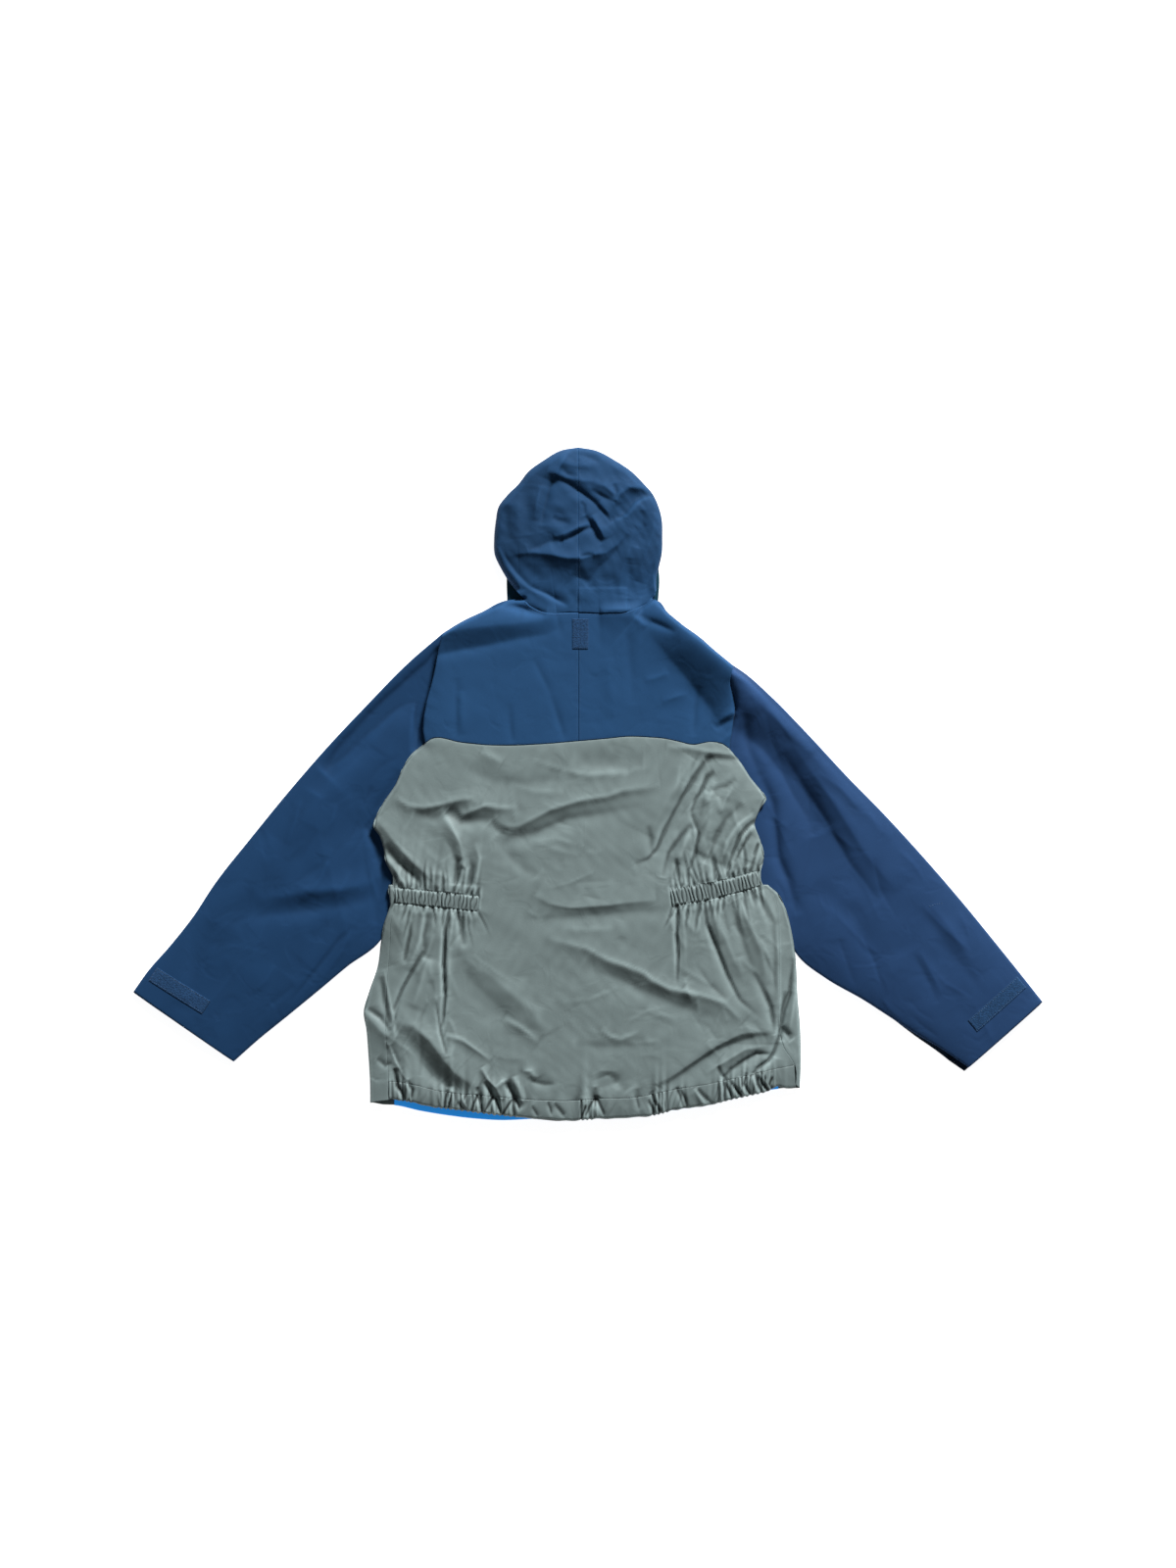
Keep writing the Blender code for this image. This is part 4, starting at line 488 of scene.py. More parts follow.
def waves(phase, start):
    """Crests of uneven height along a gathered line, one to each whole phase: a cosine whose
    height and place two slower sines shift a little."""
    drift = 0.16 * np.sin(2.3 * phase + start) + 0.10 * np.sin(5.1 * phase + 2 * start)
    height = 1 + 0.28 * np.sin(1.7 * phase + 3 * start)
    return height * np.cos(2 * np.pi * (phase + drift))


# Each level: share of the gathers that it still has, how far it reaches, its height in mm
SPREAD = ((1.0, 6, 0.8), (0.5, 16, 1.0), (0.27, 34, 0.9))
BULGE = 0.9               # how high the cloth puffs up beside the elastic
LEVEL_STEP = 10.0         # how much further to each side a level looks for where the hem is drawn in


def casing_middle(top, bottom):
    """The line along the middle of an elastic casing: the mean of its two edges."""
    return (curve(top, np.linspace(0, 1, 9)) + curve(bottom, np.linspace(0, 1, 9))) / 2


def gathers_at(x, y):
    """Waves that run out from the elastic and from the hem. Beside the gathered line there are as
    many as it has gathers; further off they join into fewer, longer ones. Each level is the uneven
    wave times e to the minus distance over its reach."""
    total = np.zeros(np.shape(x))
    for top, bottom, count, lean in ELASTIC.values():
        away, run, side = beside(casing_middle(top, bottom), x, y)
        beyond = np.maximum(away - CASING_DEPTH / 2, 0)
        ends = fades(run, 0.05, 0.05)
        phase = run * count + lean * np.sign(side) * (0.5 + beyond / 60)
        total += BULGE * ends * np.exp(-((beyond - 8) / 6) ** 2)
        for level, (share, reach, height) in enumerate(SPREAD):
            total += height * ends * waves(phase * share, level + side) * np.exp(-beyond / reach)
    away, _, side = beside(HEM_SEAM, x, y)
    beyond = np.where(side > 0, away, 0)
    phase = np.interp(x, HEM_KNOTS[:, 0], HEM_KNOTS[:, 1])
    for level, (share, reach, height) in enumerate(SPREAD):
        aside = LEVEL_STEP * level
        density = np.minimum(np.interp(x - aside, HEM_CENTRES, HEM_CROWDING),
                             np.interp(x + aside, HEM_CENTRES, HEM_CROWDING))
        fullness = np.clip(density / FULL_CROWDING, 0.12, 1) ** 1.5
        total += height * fullness * waves(phase * share, 5 + level) * np.exp(-beyond / reach)
    return total


def band_mask(x, y):
    """1 under the elastic casings and 0 outside them, with a soft edge."""
    mask = np.zeros(np.shape(x))
    for top, bottom, _, _ in ELASTIC.values():
        away, run, _ = beside(casing_middle(top, bottom), x, y)
        ends = fades(run, 0.03, 0.03)
        mask = np.maximum(mask, ends * (1 - ease(away, CASING_DEPTH * 0.40, CASING_DEPTH * 0.50)))
    return mask


def back_height(x, y, folds, crinkle, band=1.0):
    """Height of the outside of the back: the plain rise, its folds, the waves from the gathered
    lines and a slight unevenness. They fade at the rim, and under the elastic the cloth is drawn
    down. No trough goes through the sleeve that lies below."""
    plain = plain_rise(x, y)
    share = np.clip((plain - FOLDS_FROM) / FOLDS_RISE, 0, 1)
    crown = CROWN * np.exp(-((x / CROWN_REACH[0]) ** 2 + ((y - CROWN_Y) / CROWN_REACH[1]) ** 2))
    crown *= np.clip((plain - 9.5) / 5.0, 0, 1)
    over_sleeve = ease(np.abs(x), 225, 248) * ease(y, -250, -215) * (1 - ease(y, 62, 80))
    lowest = np.minimum(plain, LOWEST_BESIDE + (LOWEST - LOWEST_BESIDE) * over_sleeve)
    under = band_mask(x, y)
    bumps = (folds_at(folds, x, y) + gathers_at(x, y)) * (1 - under)
    bumps += crinkle * (0.40 * uneven(x, y, 52, 3) + 0.14 * uneven(x, y, 23, 8))
    height = plain + crown + bumps * share - BAND_SINK * under * band
    return np.maximum(height, lowest + 0.15 * np.minimum(height - lowest, 0))


def panel(low, high, left, right):
    """Plan of a panel between four edges: the mean of the straight spans from side to side and
    from end to end, less the one between its corners."""
    u = run_shares(low)[None, :, None]
    v = run_shares(left)[:, None, None]
    sides = left[:, None] * (1 - u) + right[:, None] * u
    ends = low[None] * (1 - v) + high[None] * v
    corners = (low[0] * (1 - u) + low[-1] * u) * (1 - v) + (high[0] * (1 - u) + high[-1] * u) * v
    return sides + ends - corners


def raised(plan, height):
    """Plan points with their heights, in millimetres."""
    return np.dstack((plan, np.broadcast_to(height, plan.shape[:2])))


def crest_shade(points, steps=2):
    """How far each point stands above (+) or below (-) the mean of its neighbours a few steps off,
    as a share of 0.8 mm: it sets painted highlight on the crests and painted shade in the troughs."""
    height = points[..., 2]
    grown = np.pad(height, steps, mode="edge")
    mean = (grown[2 * steps:, steps:-steps] + grown[:-2 * steps, steps:-steps]
            + grown[steps:-steps, 2 * steps:] + grown[steps:-steps, :-2 * steps]) / 4
    return np.clip((height - mean) / 0.8, -1, 1)


def cloth_piece(name, points, thread_plan=None, ring=False, flip=False, wall=0.6, tone=0.0):
    """A sheet of cloth on a grid of points in millimetres. Its UV map holds where each point lies
    in the cut cloth, in metres, and its crest attribute the painted light and shade of its folds. It is
    given a wall inwards, so that its raw edges are closed. tone is added to that, as more painted light or
    shade."""
    rows, columns = points.shape[:2]
    number = np.arange(rows * columns).reshape(rows, columns)
    shade = crest_shade(points) + tone
    if thread_plan is None:
        thread_plan = points[..., :2]
    if ring:
        number = np.concatenate((number, number[:, :1]), axis=1)
        thread_plan = np.concatenate((thread_plan, 2 * thread_plan[:, -1:] - thread_plan[:, -2:-1]), axis=1)
    corners = np.stack((number[:-1, :-1], number[:-1, 1:], number[1:, 1:], number[1:, :-1]), axis=-1)
    threads = np.stack((thread_plan[:-1, :-1], thread_plan[:-1, 1:], thread_plan[1:, 1:],
                        thread_plan[1:, :-1]), axis=2)
    if flip:
        corners = corners[..., ::-1]
        threads = threads[:, :, ::-1]
    mesh = bpy.data.meshes.new(name)
    mesh.from_pydata(points.reshape(-1, 3) * MM, [], corners.reshape(-1, 4).tolist())
    mesh.uv_layers.new(name="cut").data.foreach_set("uv", (threads * MM).ravel())
    crest = mesh.attributes.new("crest", "FLOAT", "POINT")
    crest.data.foreach_set("value", shade.ravel().astype(np.float32))
    mesh.shade_smooth()
    mesh.update()
    piece = bpy.data.objects.new(name, mesh)
    bpy.context.scene.collection.objects.link(piece)
    if wall:
        solid = piece.modifiers.new("wall", "SOLIDIFY")
        solid.thickness = wall * MM
        solid.offset = -1
    return piece


def node(tree, kind, **settings):
    """A shader node with its settings."""
    made = tree.nodes.new(kind)
    for key, value in settings.items():
        setattr(made, key, value)
    return made


def sum_of(tree, operation, *values):
    """The output of a Math node, whose inputs are other outputs or plain numbers."""
    made = node(tree, "ShaderNodeMath", operation=operation)
    for socket, value in zip(made.inputs, values):
        if isinstance(value, bpy.types.NodeSocket):
            tree.links.new(value, socket)
        else:
            socket.default_value = value
    return made.outputs[0]


def effect_group(name, inputs, outputs):
    """An empty node group with named inputs and outputs, and its two end nodes."""
    group = bpy.data.node_groups.new(name, "ShaderNodeTree")
    for label, kind, value in inputs:
        socket = group.interface.new_socket(name=label, in_out="INPUT", socket_type=kind)
        if value is not None:
            socket.default_value = value
    for label, kind in outputs:
        group.interface.new_socket(name=label, in_out="OUTPUT", socket_type=kind)
    return group, node(group, "NodeGroupInput"), node(group, "NodeGroupOutput")


def plain_weave_group():
    """Threads over and under each other: each set is the absolute sine across it, and which one
    is on top follows the product of the two cosines."""
    group, given, out = effect_group("plain_weave", (("Vector", "NodeSocketVector", None),
                                                     ("Threads per metre", "NodeSocketFloat", 1800.0)),
                                     (("Height", "NodeSocketFloat"),))
    split = node(group, "ShaderNodeSeparateXYZ")
    group.links.new(given.outputs["Vector"], split.inputs[0])
    turns = sum_of(group, "MULTIPLY", given.outputs["Threads per metre"], np.pi)
    across = sum_of(group, "MULTIPLY", split.outputs[0], turns)
    along = sum_of(group, "MULTIPLY", split.outputs[1], turns)
    over = sum_of(group, "MULTIPLY", sum_of(group, "COSINE", across), sum_of(group, "COSINE", along))
    warp = sum_of(group, "MULTIPLY", sum_of(group, "ABSOLUTE", sum_of(group, "SINE", across)),
                  sum_of(group, "MULTIPLY_ADD", over, 0.5, 0.5))
    weft = sum_of(group, "MULTIPLY", sum_of(group, "ABSOLUTE", sum_of(group, "SINE", along)),
                  sum_of(group, "MULTIPLY_ADD", over, -0.5, 0.5))
    group.links.new(sum_of(group, "MAXIMUM", warp, weft), out.inputs["Height"])
    return group


def cloth_tone_group():
    """A factor near 1 for the cloth's colour: broad patches, fine slubs along the threads, and
    painted highlight on the crests and painted shade in the troughs, from the crest attribute."""
    group, given, out = effect_group("cloth_tone", (("Vector", "NodeSocketVector", None),
                                                    ("Crest", "NodeSocketFloat", 0.0),
                                                    ("Patches", "NodeSocketFloat", 0.06),
                                                    ("Slubs", "NodeSocketFloat", 0.05),
                                                    ("Worn crests", "NodeSocketFloat", 0.15)),
                                     (("Tone", "NodeSocketFloat"),))
    broad = node(group, "ShaderNodeTexNoise")
    broad.inputs["Scale"].default_value = 14.0
    broad.inputs["Detail"].default_value = 3.0
    stretch = node(group, "ShaderNodeVectorMath", operation="MULTIPLY")
    stretch.inputs[1].default_value = (260.0, 1500.0, 260.0)
    fine = node(group, "ShaderNodeTexNoise")
    fine.inputs["Scale"].default_value = 1.0
    fine.inputs["Detail"].default_value = 1.0
    group.links.new(given.outputs["Vector"], broad.inputs["Vector"])
    group.links.new(given.outputs["Vector"], stretch.inputs[0])
    group.links.new(stretch.outputs[0], fine.inputs["Vector"])
    patches = sum_of(group, "MULTIPLY", sum_of(group, "SUBTRACT", broad.outputs[0], 0.5),
                     sum_of(group, "MULTIPLY", given.outputs["Patches"], 2.0))
    slubs = sum_of(group, "MULTIPLY", sum_of(group, "SUBTRACT", fine.outputs[0], 0.5),
                   sum_of(group, "MULTIPLY", given.outputs["Slubs"], 2.0))
    # The crest attribute times its strength: painted highlight on crests, painted shade in troughs.
    fold_light_paint = sum_of(group, "MULTIPLY", given.outputs["Crest"], given.outputs["Worn crests"])
    total = sum_of(group, "ADD", sum_of(group, "ADD", patches, slubs), sum_of(group, "ADD", fold_light_paint, 1.0))
    group.links.new(total, out.inputs["Tone"])
    return group


def soft_creases_group():
    """Height of small handling creases: the ridges where a bent noise crosses its middle, plus the
    noise itself."""
    group, given, out = effect_group("soft_creases", (("Vector", "NodeSocketVector", None),
                                                      ("Size", "NodeSocketFloat", 30.0),
                                                      ("Crispness", "NodeSocketFloat", 0.5)),
                                     (("Height", "NodeSocketFloat"),))
    noise = node(group, "ShaderNodeTexNoise")
    noise.inputs["Detail"].default_value = 2.0
    noise.inputs["Distortion"].default_value = 0.6
    group.links.new(given.outputs["Vector"], noise.inputs["Vector"])
    group.links.new(given.outputs["Size"], noise.inputs["Scale"])
    ridge = sum_of(group, "ABSOLUTE", sum_of(group, "SUBTRACT", noise.outputs[0], 0.5))
    ridge = sum_of(group, "MULTIPLY", ridge, sum_of(group, "MULTIPLY", given.outputs["Crispness"], -2.0))
    group.links.new(sum_of(group, "ADD", noise.outputs[0], ridge), out.inputs["Height"])
    return group


PLAIN_WEAVE = plain_weave_group()
CLOTH_TONE = cloth_tone_group()
SOFT_CREASES = soft_creases_group()


def put_group(tree, group, vector, **values):
    """A node group placed in a material, with its own values. Underscores stand for spaces."""
    made = node(tree, "ShaderNodeGroup", node_tree=group)
    tree.links.new(vector, made.inputs["Vector"])
    for key, value in values.items():
        socket = made.inputs[key.replace("_", " ")]
        if isinstance(value, bpy.types.NodeSocket):
            tree.links.new(value, socket)
        else:
            socket.default_value = value
    return made


def cloth_finish(name, colour, roughness, specular, sheen, threads, patches, slubs, fold_light_paint, creases,
                 crease_size, crisp):
    """A woven cloth: its colour times the tone of its patches and slubs and the painted light and shade
    of its folds, and a bump of small creases under a bump of threads."""
    finish = bpy.data.materials.new(name)
    finish.use_nodes = True
    tree = finish.node_tree
    shader = tree.nodes["Principled BSDF"]
    shader.inputs["Roughness"].default_value = roughness
    shader.inputs["Sheen Weight"].default_value = sheen
    shader.inputs["Sheen Roughness"].default_value = 0.45
    shader.inputs["Specular IOR Level"].default_value = specular
    cut = node(tree, "ShaderNodeUVMap", uv_map="cut").outputs[0]
    place = node(tree, "ShaderNodeTexCoord").outputs["Object"]
    crest = node(tree, "ShaderNodeAttribute", attribute_name="crest").outputs["Fac"]
    tone = put_group(tree, CLOTH_TONE, cut, Crest=crest, Patches=patches, Slubs=slubs, Worn_crests=fold_light_paint)
    tint = node(tree, "ShaderNodeVectorMath", operation="SCALE")
    tint.inputs[0].default_value = colour
    tree.links.new(tone.outputs[0], tint.inputs["Scale"])
    tree.links.new(tint.outputs[0], shader.inputs["Base Color"])
    small = put_group(tree, SOFT_CREASES, place, Size=crease_size, Crispness=crisp)
    weave = put_group(tree, PLAIN_WEAVE, cut, Threads_per_metre=threads)
    under = node(tree, "ShaderNodeBump")
    under.inputs["Strength"].default_value = 1.0
    under.inputs["Distance"].default_value = creases * MM
    tree.links.new(small.outputs[0], under.inputs["Height"])
    over = node(tree, "ShaderNodeBump")
    over.inputs["Strength"].default_value = 0.02
    over.inputs["Distance"].default_value = 0.06 * MM
    tree.links.new(weave.outputs[0], over.inputs["Height"])
    tree.links.new(under.outputs[0], over.inputs["Normal"])
    tree.links.new(over.outputs[0], shader.inputs["Normal"])
    return finish


GREY_NYLON = cloth_finish("grey_green_nylon", (0.190, 0.244, 0.244), roughness=0.54, specular=0.24,
                          sheen=0.03, threads=2600, patches=0.05, slubs=0.09, fold_light_paint=0.50, creases=0.8,
                          crease_size=26.0, crisp=0.6)
# The gathered casings: a darker copy of the grey with stronger fold paint, painted shade in their grooves.
GATHERED_NYLON = cloth_finish("gathered_nylon", (0.148, 0.190, 0.190), roughness=0.58, specular=0.22,
                              sheen=0.03, threads=2600, patches=0.05, slubs=0.05, fold_light_paint=0.75, creases=0.8,
                              crease_size=26.0, crisp=0.6)


def closer_at_ends(count, near=(0.0012, 0.0030, 0.0060)):
    """Shares from 0 to 1, even in the middle and closer beside both ends."""
    near = np.array(near)
    return np.concatenate(([0.0], near, np.linspace(0.011, 0.989, count), 1 - near[::-1], [1.0]))


def spread_by(shares, places, densities):
    """Shares packed more closely where the density given at each place is higher."""
    dense = np.linspace(0, 1, 2001)
    total = np.cumsum(np.interp(dense, places, densities))
    total = (total - total[0]) / (total[-1] - total[0])
    return np.interp(shares, total, dense)


def tucked(points, inside, drop, depth):
    """The same rows with two more columns at each side that a fold turns under: a step inwards of
    the given depth and down by the given drop, in millimetres."""
    grown = [points]
    for edge, step, front in ((points[:, 0], points[:, 1] - points[:, 0], True),
                              (points[:, -1], points[:, -2] - points[:, -1], False)):
        way = step[:, :2] / np.linalg.norm(step[:, :2], axis=1)[:, None]
        lips = []
        for share, fall in ((0.15, 0.6), (1.0, 1.0)):
            lip = np.column_stack((edge[:, :2] + way * depth * share * inside[:, None],
                                   edge[:, 2] - drop * fall))
            lips.append(lip[:, None])
        grown = [lips[1], lips[0], *grown] if front else [*grown, lips[0], lips[1]]
    return np.concatenate(grown, axis=1)


def side_points(table, shares):
    """Points on the back's own side edge: the side seam, then the fold over the sleeve."""
    y = table[1][0] + (table[-1][0] - table[1][0]) * shares
    return np.column_stack((side_value(table, y, 2), y))


# Columns and rows of the back, closer together over the pleats at its sides and at the waist
BACK_ACROSS = spread_by(closer_at_ends(222), (0, 0.26, 0.34, 0.64, 0.72, 1),
                        (1.5, 1.5, 0.75, 0.75, 1.5, 1.5))
BACK_UP = spread_by(closer_at_ends(196), (0, 0.10, 0.16, 0.48, 0.52, 0.64, 0.70, 1),
                    (2, 2, 1, 1, 1.7, 1.7, 1, 1))
back_plan = panel(curve(HEM_SEAM, BACK_ACROSS), curve(YOKE_SEAM, BACK_ACROSS),
                  side_points(SIDE_LEFT, BACK_UP), side_points(SIDE_RIGHT, BACK_UP))
x, y = back_plan[..., 0], back_plan[..., 1]
height = back_height(x, y, BODY_FOLDS, 1.0)
for line, sink in ((YOKE_SEAM, 0.6), (HEM_SEAM, 0.35)):
    height = height - sink * np.exp(-beside(curve(line, np.linspace(0, 1, 60)), x, y)[0] / 1.6)
over_sleeve = ease(side_points(SIDE_LEFT, BACK_UP)[:, 1], -150, -120)
back_points = tucked(raised(back_plan, height), over_sleeve, 0.9, 6)
back_body = cloth_piece("back_body_cloth", back_points, wall=0.5)
back_body.data.materials.append(GREY_NYLON)
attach(back_body, "root")
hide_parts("back_body")


# ---- Back yoke -----------------------------------------------------------------------------------
# Two halves of matt navy cloth, joined down the middle with a lapped seam. Each runs from the grey
# body up to the neck and the shoulder, and out to the armhole.

NECK_SEAM = ((-96, 279), (-87, 269), (-69, 260), (-29, 258), (-14, 258), (30, 257), (58, 259), (82, 269),
             (100, 279))
CENTRE_X = -14
YOKE_FOLDS = (
    # right shoulder: a lit fold, a steep dark facet beyond it and the shoulder's own ridge
    (-7.0, 20, 40, 1.05, 0.6, ((82, 240), (100, 216), (116, 196), (145, 163), (172, 129), (193, 99),
                               (212, 74))),
    (25.0, 26, 44, 1.25, 0.5, ((92, 276), (118, 254), (148, 230), (182, 202), (210, 178), (240, 150),
                               (270, 118))),
    (-3.6, 5, 6, 1.2, 0.5, ((72, 258), (92, 246), (112, 238), (132, 228))),
    (2.6, 5, 5, 1.1, 0.5, ((66, 254), (78, 246), (88, 236))),
    (-3.4, 5, 5, 1.2, 0.6, ((214, 160), (221, 130), (223, 108))),
    (-2.6, 5, 5, 1.2, 0.5, ((192, 82), (206, 92), (226, 102))),
    (2.6, 6, 5, 1.1, 0.5, ((192, 90), (208, 102), (222, 110))),
    # left shoulder: a lit ridge near the edge over a long dark valley
    (12.5, 50, 23, 1.2, 0.42, ((-270, 200), (-222, 229), (-184, 236), (-150, 240), (-110, 243), (-76, 248),
                              (-46, 252))),
    (-3.6, 14, 9, 1.2, 0.4, ((-262, 178), (-222, 196), (-186, 203), (-150, 209), (-100, 220), (-64, 226),
                             (-36, 238))),
    (-7.5, 6, 6, 1.15, 0.5, ((-136, 272), (-110, 268), (-88, 261), (-62, 256))),
    # faint creases of the flat yoke
    (-1.5, 5, 7, 1.2, 0.5, ((-196, 160), (-197, 112), (-196, 66))),
    (1.3, 8, 6, 1.2, 0.5, ((-190, 140), (-190, 110), (-188, 76))),
    (-1.6, 4, 7, 1.2, 0.6, ((-118, 122), (-116, 94), (-113, 62))),
    (-1.7, 5, 5, 1.2, 0.5, ((-54, 132), (-44, 100), (-34, 66))),
    (-1.2, 5, 5, 1.2, 0.5, ((-82, 190), (-62, 150), (-52, 128))),
    (1.4, 6, 6, 1.1, 0.5, ((86, 156), (104, 161), (122, 168))),
    (1.4, 6, 6, 1.1, 0.5, ((112, 124), (134, 132), (150, 136))),
    (-2.2, 5, 7, 1.2, 0.5, ((168, 148), (162, 112), (160, 72))),
    (7.5, 8, 26, 1.3, 0.5, ((18, 260), (48, 262), (82, 262))),
    (-1.4, 8, 8, 1.4, 0.5, ((58, 250), (62, 216), (66, 170), (70, 120))),
    (1.2, 10, 10, 1.4, 0.5, ((30, 190), (34, 150), (40, 100))),
)
NAVY = (0.0185, 0.0715, 0.1760)


def yoke_height(x, y):
    """Height of the yoke: like the body's, with its own folds right up to the shoulders."""
    return back_height(x, y, YOKE_FOLDS, 0.55)


NAVY_CLOTH = cloth_finish("navy_cloth", NAVY, roughness=0.78, specular=0.12, sheen=0.01, threads=1500,
                          patches=0.07, slubs=0.12, fold_light_paint=0.12, creases=0.9, crease_size=24.0, crisp=0.4)


def shoulder_and_neck(shoulder, neck, count):
    """Points along a half's upper edge: the shoulder from the armhole to the neck's corner, then
    the neck seam to the middle."""
    shoulder_count = count // 2
    first = curve(shoulder, np.linspace(0, 1, shoulder_count))
    rest = curve(neck, np.linspace(0, 1, count - shoulder_count + 1))
    return np.concatenate((first, rest[1:]))


for side, armhole, shoulder, spans in (("left", ARMHOLE_LEFT[7::-1], SHOULDER_LEFT, 1),
                                       ("right", ARMHOLE_RIGHT[5::-1], SHOULDER_RIGHT[::-1], -1)):
    across = 96
    up = 84
    seam = curve(YOKE_SEAM, np.linspace(0, 1, 400))
    neck = curve(NECK_SEAM, np.linspace(0, 1, 200))
    inside = (seam[:, 0] - CENTRE_X) * spans < 0
    neck_inside = (neck[:, 0] - CENTRE_X) * spans < 0
    seam, neck = seam[inside][::spans], neck[neck_inside][::spans]
    shares = np.concatenate((np.linspace(0, 0.985, across - 3), [0.990, 0.995, 1.0]))
    low = curve(seam, shares) + (0, 0.15)
    high = curve(shoulder_and_neck(shoulder, neck, 60), shares)
    rows = np.concatenate(([0.0, 0.008, 0.018], np.linspace(0.035, 0.965, up - 5), [0.985, 1.0]))
    outer = curve(armhole, rows)
    outer[:, 0] += 0.8 * spans
    low[0], high[0] = outer[0], outer[-1]
    low[-1, 0] = high[-1, 0] = CENTRE_X
    middle = low[-1] + (high[-1] - low[-1]) * rows[:, None]
    plan = panel(low, high, outer, middle)
    x, y = plan[..., 0], plan[..., 1]
    height = yoke_height(x, y)
    height -= 0.5 * np.exp(-beside(curve(YOKE_SEAM, np.linspace(0, 1, 60)), x, y)[0] / 1.6)
    height -= 0.12 * np.exp(-np.abs(x - CENTRE_X) / 1.3)
    height -= 0.7 * np.exp(-beside(NECK_SEAM, x, y)[0] / 1.8)
    half = cloth_piece("back_yoke_" + side + "_cloth", raised(plan, height), flip=spans < 0)
    half.data.materials.append(NAVY_CLOTH)
    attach(half, "root")
    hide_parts("back_yoke_" + side)


# ---- Hem casing ----------------------------------------------------------------------------------
# The lower edge of the grey back is turned up into a casing. A cord inside it draws the cloth into
# uneven clusters of small puckers that lean into V shapes.

CASING_UP = np.array((0.0, 0.02, 0.05, 0.10, 0.18, 0.28, 0.38, 0.48, 0.58, 0.68, 0.78, 0.87, 0.94, 1.0))
PUCKER = 0.9
across = np.linspace(0, 1, 470)
low, high = curve(HEM_EDGE, across), curve(HEM_SEAM, across)
low[:, 0] += 0.8 * (1 - 2 * across)
high[:, 0] += 0.8 * (1 - 2 * across)
high[:, 1] -= 0.1
low[:, 1] += (5.0 * np.exp(-((low[:, 0] + 298) / 9) ** 2)
              + 6.0 * np.exp(-((low[:, 0] - 286) / 11) ** 2))
up = CASING_UP[:, None]
plan = low[None] * (1 - up[..., None]) + high[None] * up[..., None]
x, y = plan[..., 0], plan[..., 1]
density = np.interp(x, HEM_CENTRES, HEM_CROWDING)
fullness = np.clip(density / FULL_CROWDING, 0.0, 1) ** 1.8 * fades(across, 0.05, 0.05)
phase = np.interp(x, HEM_KNOTS[:, 0], HEM_KNOTS[:, 1])
lean = 0.45 * np.sin(phase * 1.9) * (up - 0.5) * 2
pucker = 1 - np.abs(np.sin(np.pi * (phase + lean))) ** 0.75
fine = 1 - np.abs(np.sin(np.pi * (2.3 * phase + 1.5 * lean + 0.3))) ** 0.8
belly = 0.55 + 0.45 * np.sin(np.pi * up)
height = back_height(x, y, BODY_FOLDS, 0.6)
height = np.maximum(height, 9.0) + 0.8 * np.sin(np.pi * up)
height -= fullness * belly * (PUCKER * pucker + 0.4 * fine - 0.4)
height -= 3.4 * (1 - rolled(up * CASING_DEPTH, 4.0)) + 0.35 * np.exp(-(1 - up) * CASING_DEPTH / 1.6)
casing = raised(plan, height)
casing[..., 1] += fullness * 0.9 * np.sin(2 * np.pi * phase) * (1 - up)
under = casing[0] + (0, 7, -0.8)
lip = casing[0] + (0, 0.8, -0.9)
casing = np.concatenate((under[None], lip[None], casing))
hem_casing = cloth_piece("back_hem_casing_cloth", casing, wall=0.5)
hem_casing.data.materials.append(GATHERED_NYLON)
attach(hem_casing, "root")
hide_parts("back_hem_casing")


# ---- Elastic casings -----------------------------------------------------------------------------
# At each side of the waist a strip of elastic is stitched in a casing along the cloth. It draws the
# cloth into close upright ridges, and the casing's edges sink in a puckered line above and below them.

RIDGE = 2.8
BAND_STANDS = -0.2
for side, (top, bottom, count, lean) in ELASTIC.items():
    run = np.linspace(0, 1, count * 9 + 1)
    up = np.linspace(0, 1, 17)[:, None]
    plan = curve(bottom, run)[None] * (1 - up[..., None]) + curve(top, run)[None] * up[..., None]
    phase = run * count + 0.12 * np.sin(run * 31) + lean * (up - 0.5) + 0.10 * np.sin(7 * up + run * 40)
    ridge = np.abs(np.sin(np.pi * phase)) ** 0.75
    tall = 0.8 + 0.25 * np.sin(run * 23 + 1) + 0.12 * np.sin(run * 57)
    belly = 0.25 + 0.75 * np.sin(np.pi * up) ** 0.5
    ends = fades(run, 0.02, 0.03)
    sunk = np.exp(-up * CASING_DEPTH / 1.4) + np.exp(-(1 - up) * CASING_DEPTH / 1.4)
    base = back_height(plan[..., 0], plan[..., 1], BODY_FOLDS, 0.0, 0.0)
    height = base + BAND_STANDS * ends + (RIDGE * ridge * tall * belly - 0.8) * ends - sunk * ends
    height -= 1.2 * (1 - ends)
    points = raised(plan, height)
    points[..., 1] += 0.8 * np.cos(2 * np.pi * phase) * (2 * up - 1) * ends
    band = cloth_piece("waist_elastic_" + side + "_cloth", points, wall=0.5)
    band.data.materials.append(GATHERED_NYLON)
    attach(band, "root")
    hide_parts("waist_elastic_" + side)


# ---- Front body ----------------------------------------------------------------------------------
# The grey front lies on the surface. It wraps round both sides of the body to the side seams, so a
# strip of it shows along each side of the back. Its inside is faced with bright blue at the hem.

FRONT_HEM_EDGE = ((-324.5, -484), (-291, -484.5), (-252, -493), (-209, -500), (-166, -505), (-131, -507),
                  (-80, -505), (-32, -504), (66, -500), (186, -481), (240, -468), (275, -461.5),
                  (316.5, -457))
WRAP_ROWS = 150
WRAP_OVER = np.concatenate(([0.0, 0.04, 0.09], np.linspace(0.16, 0.94, 15), [0.985]))
WRAP_UNDER = ((0.80, 0.86), (0.50, 0.62), (0.25, 0.34), (0.08, 0.12))
CORNER_LIFT = 4.5         # how far the hem's corners lift off the front's edge


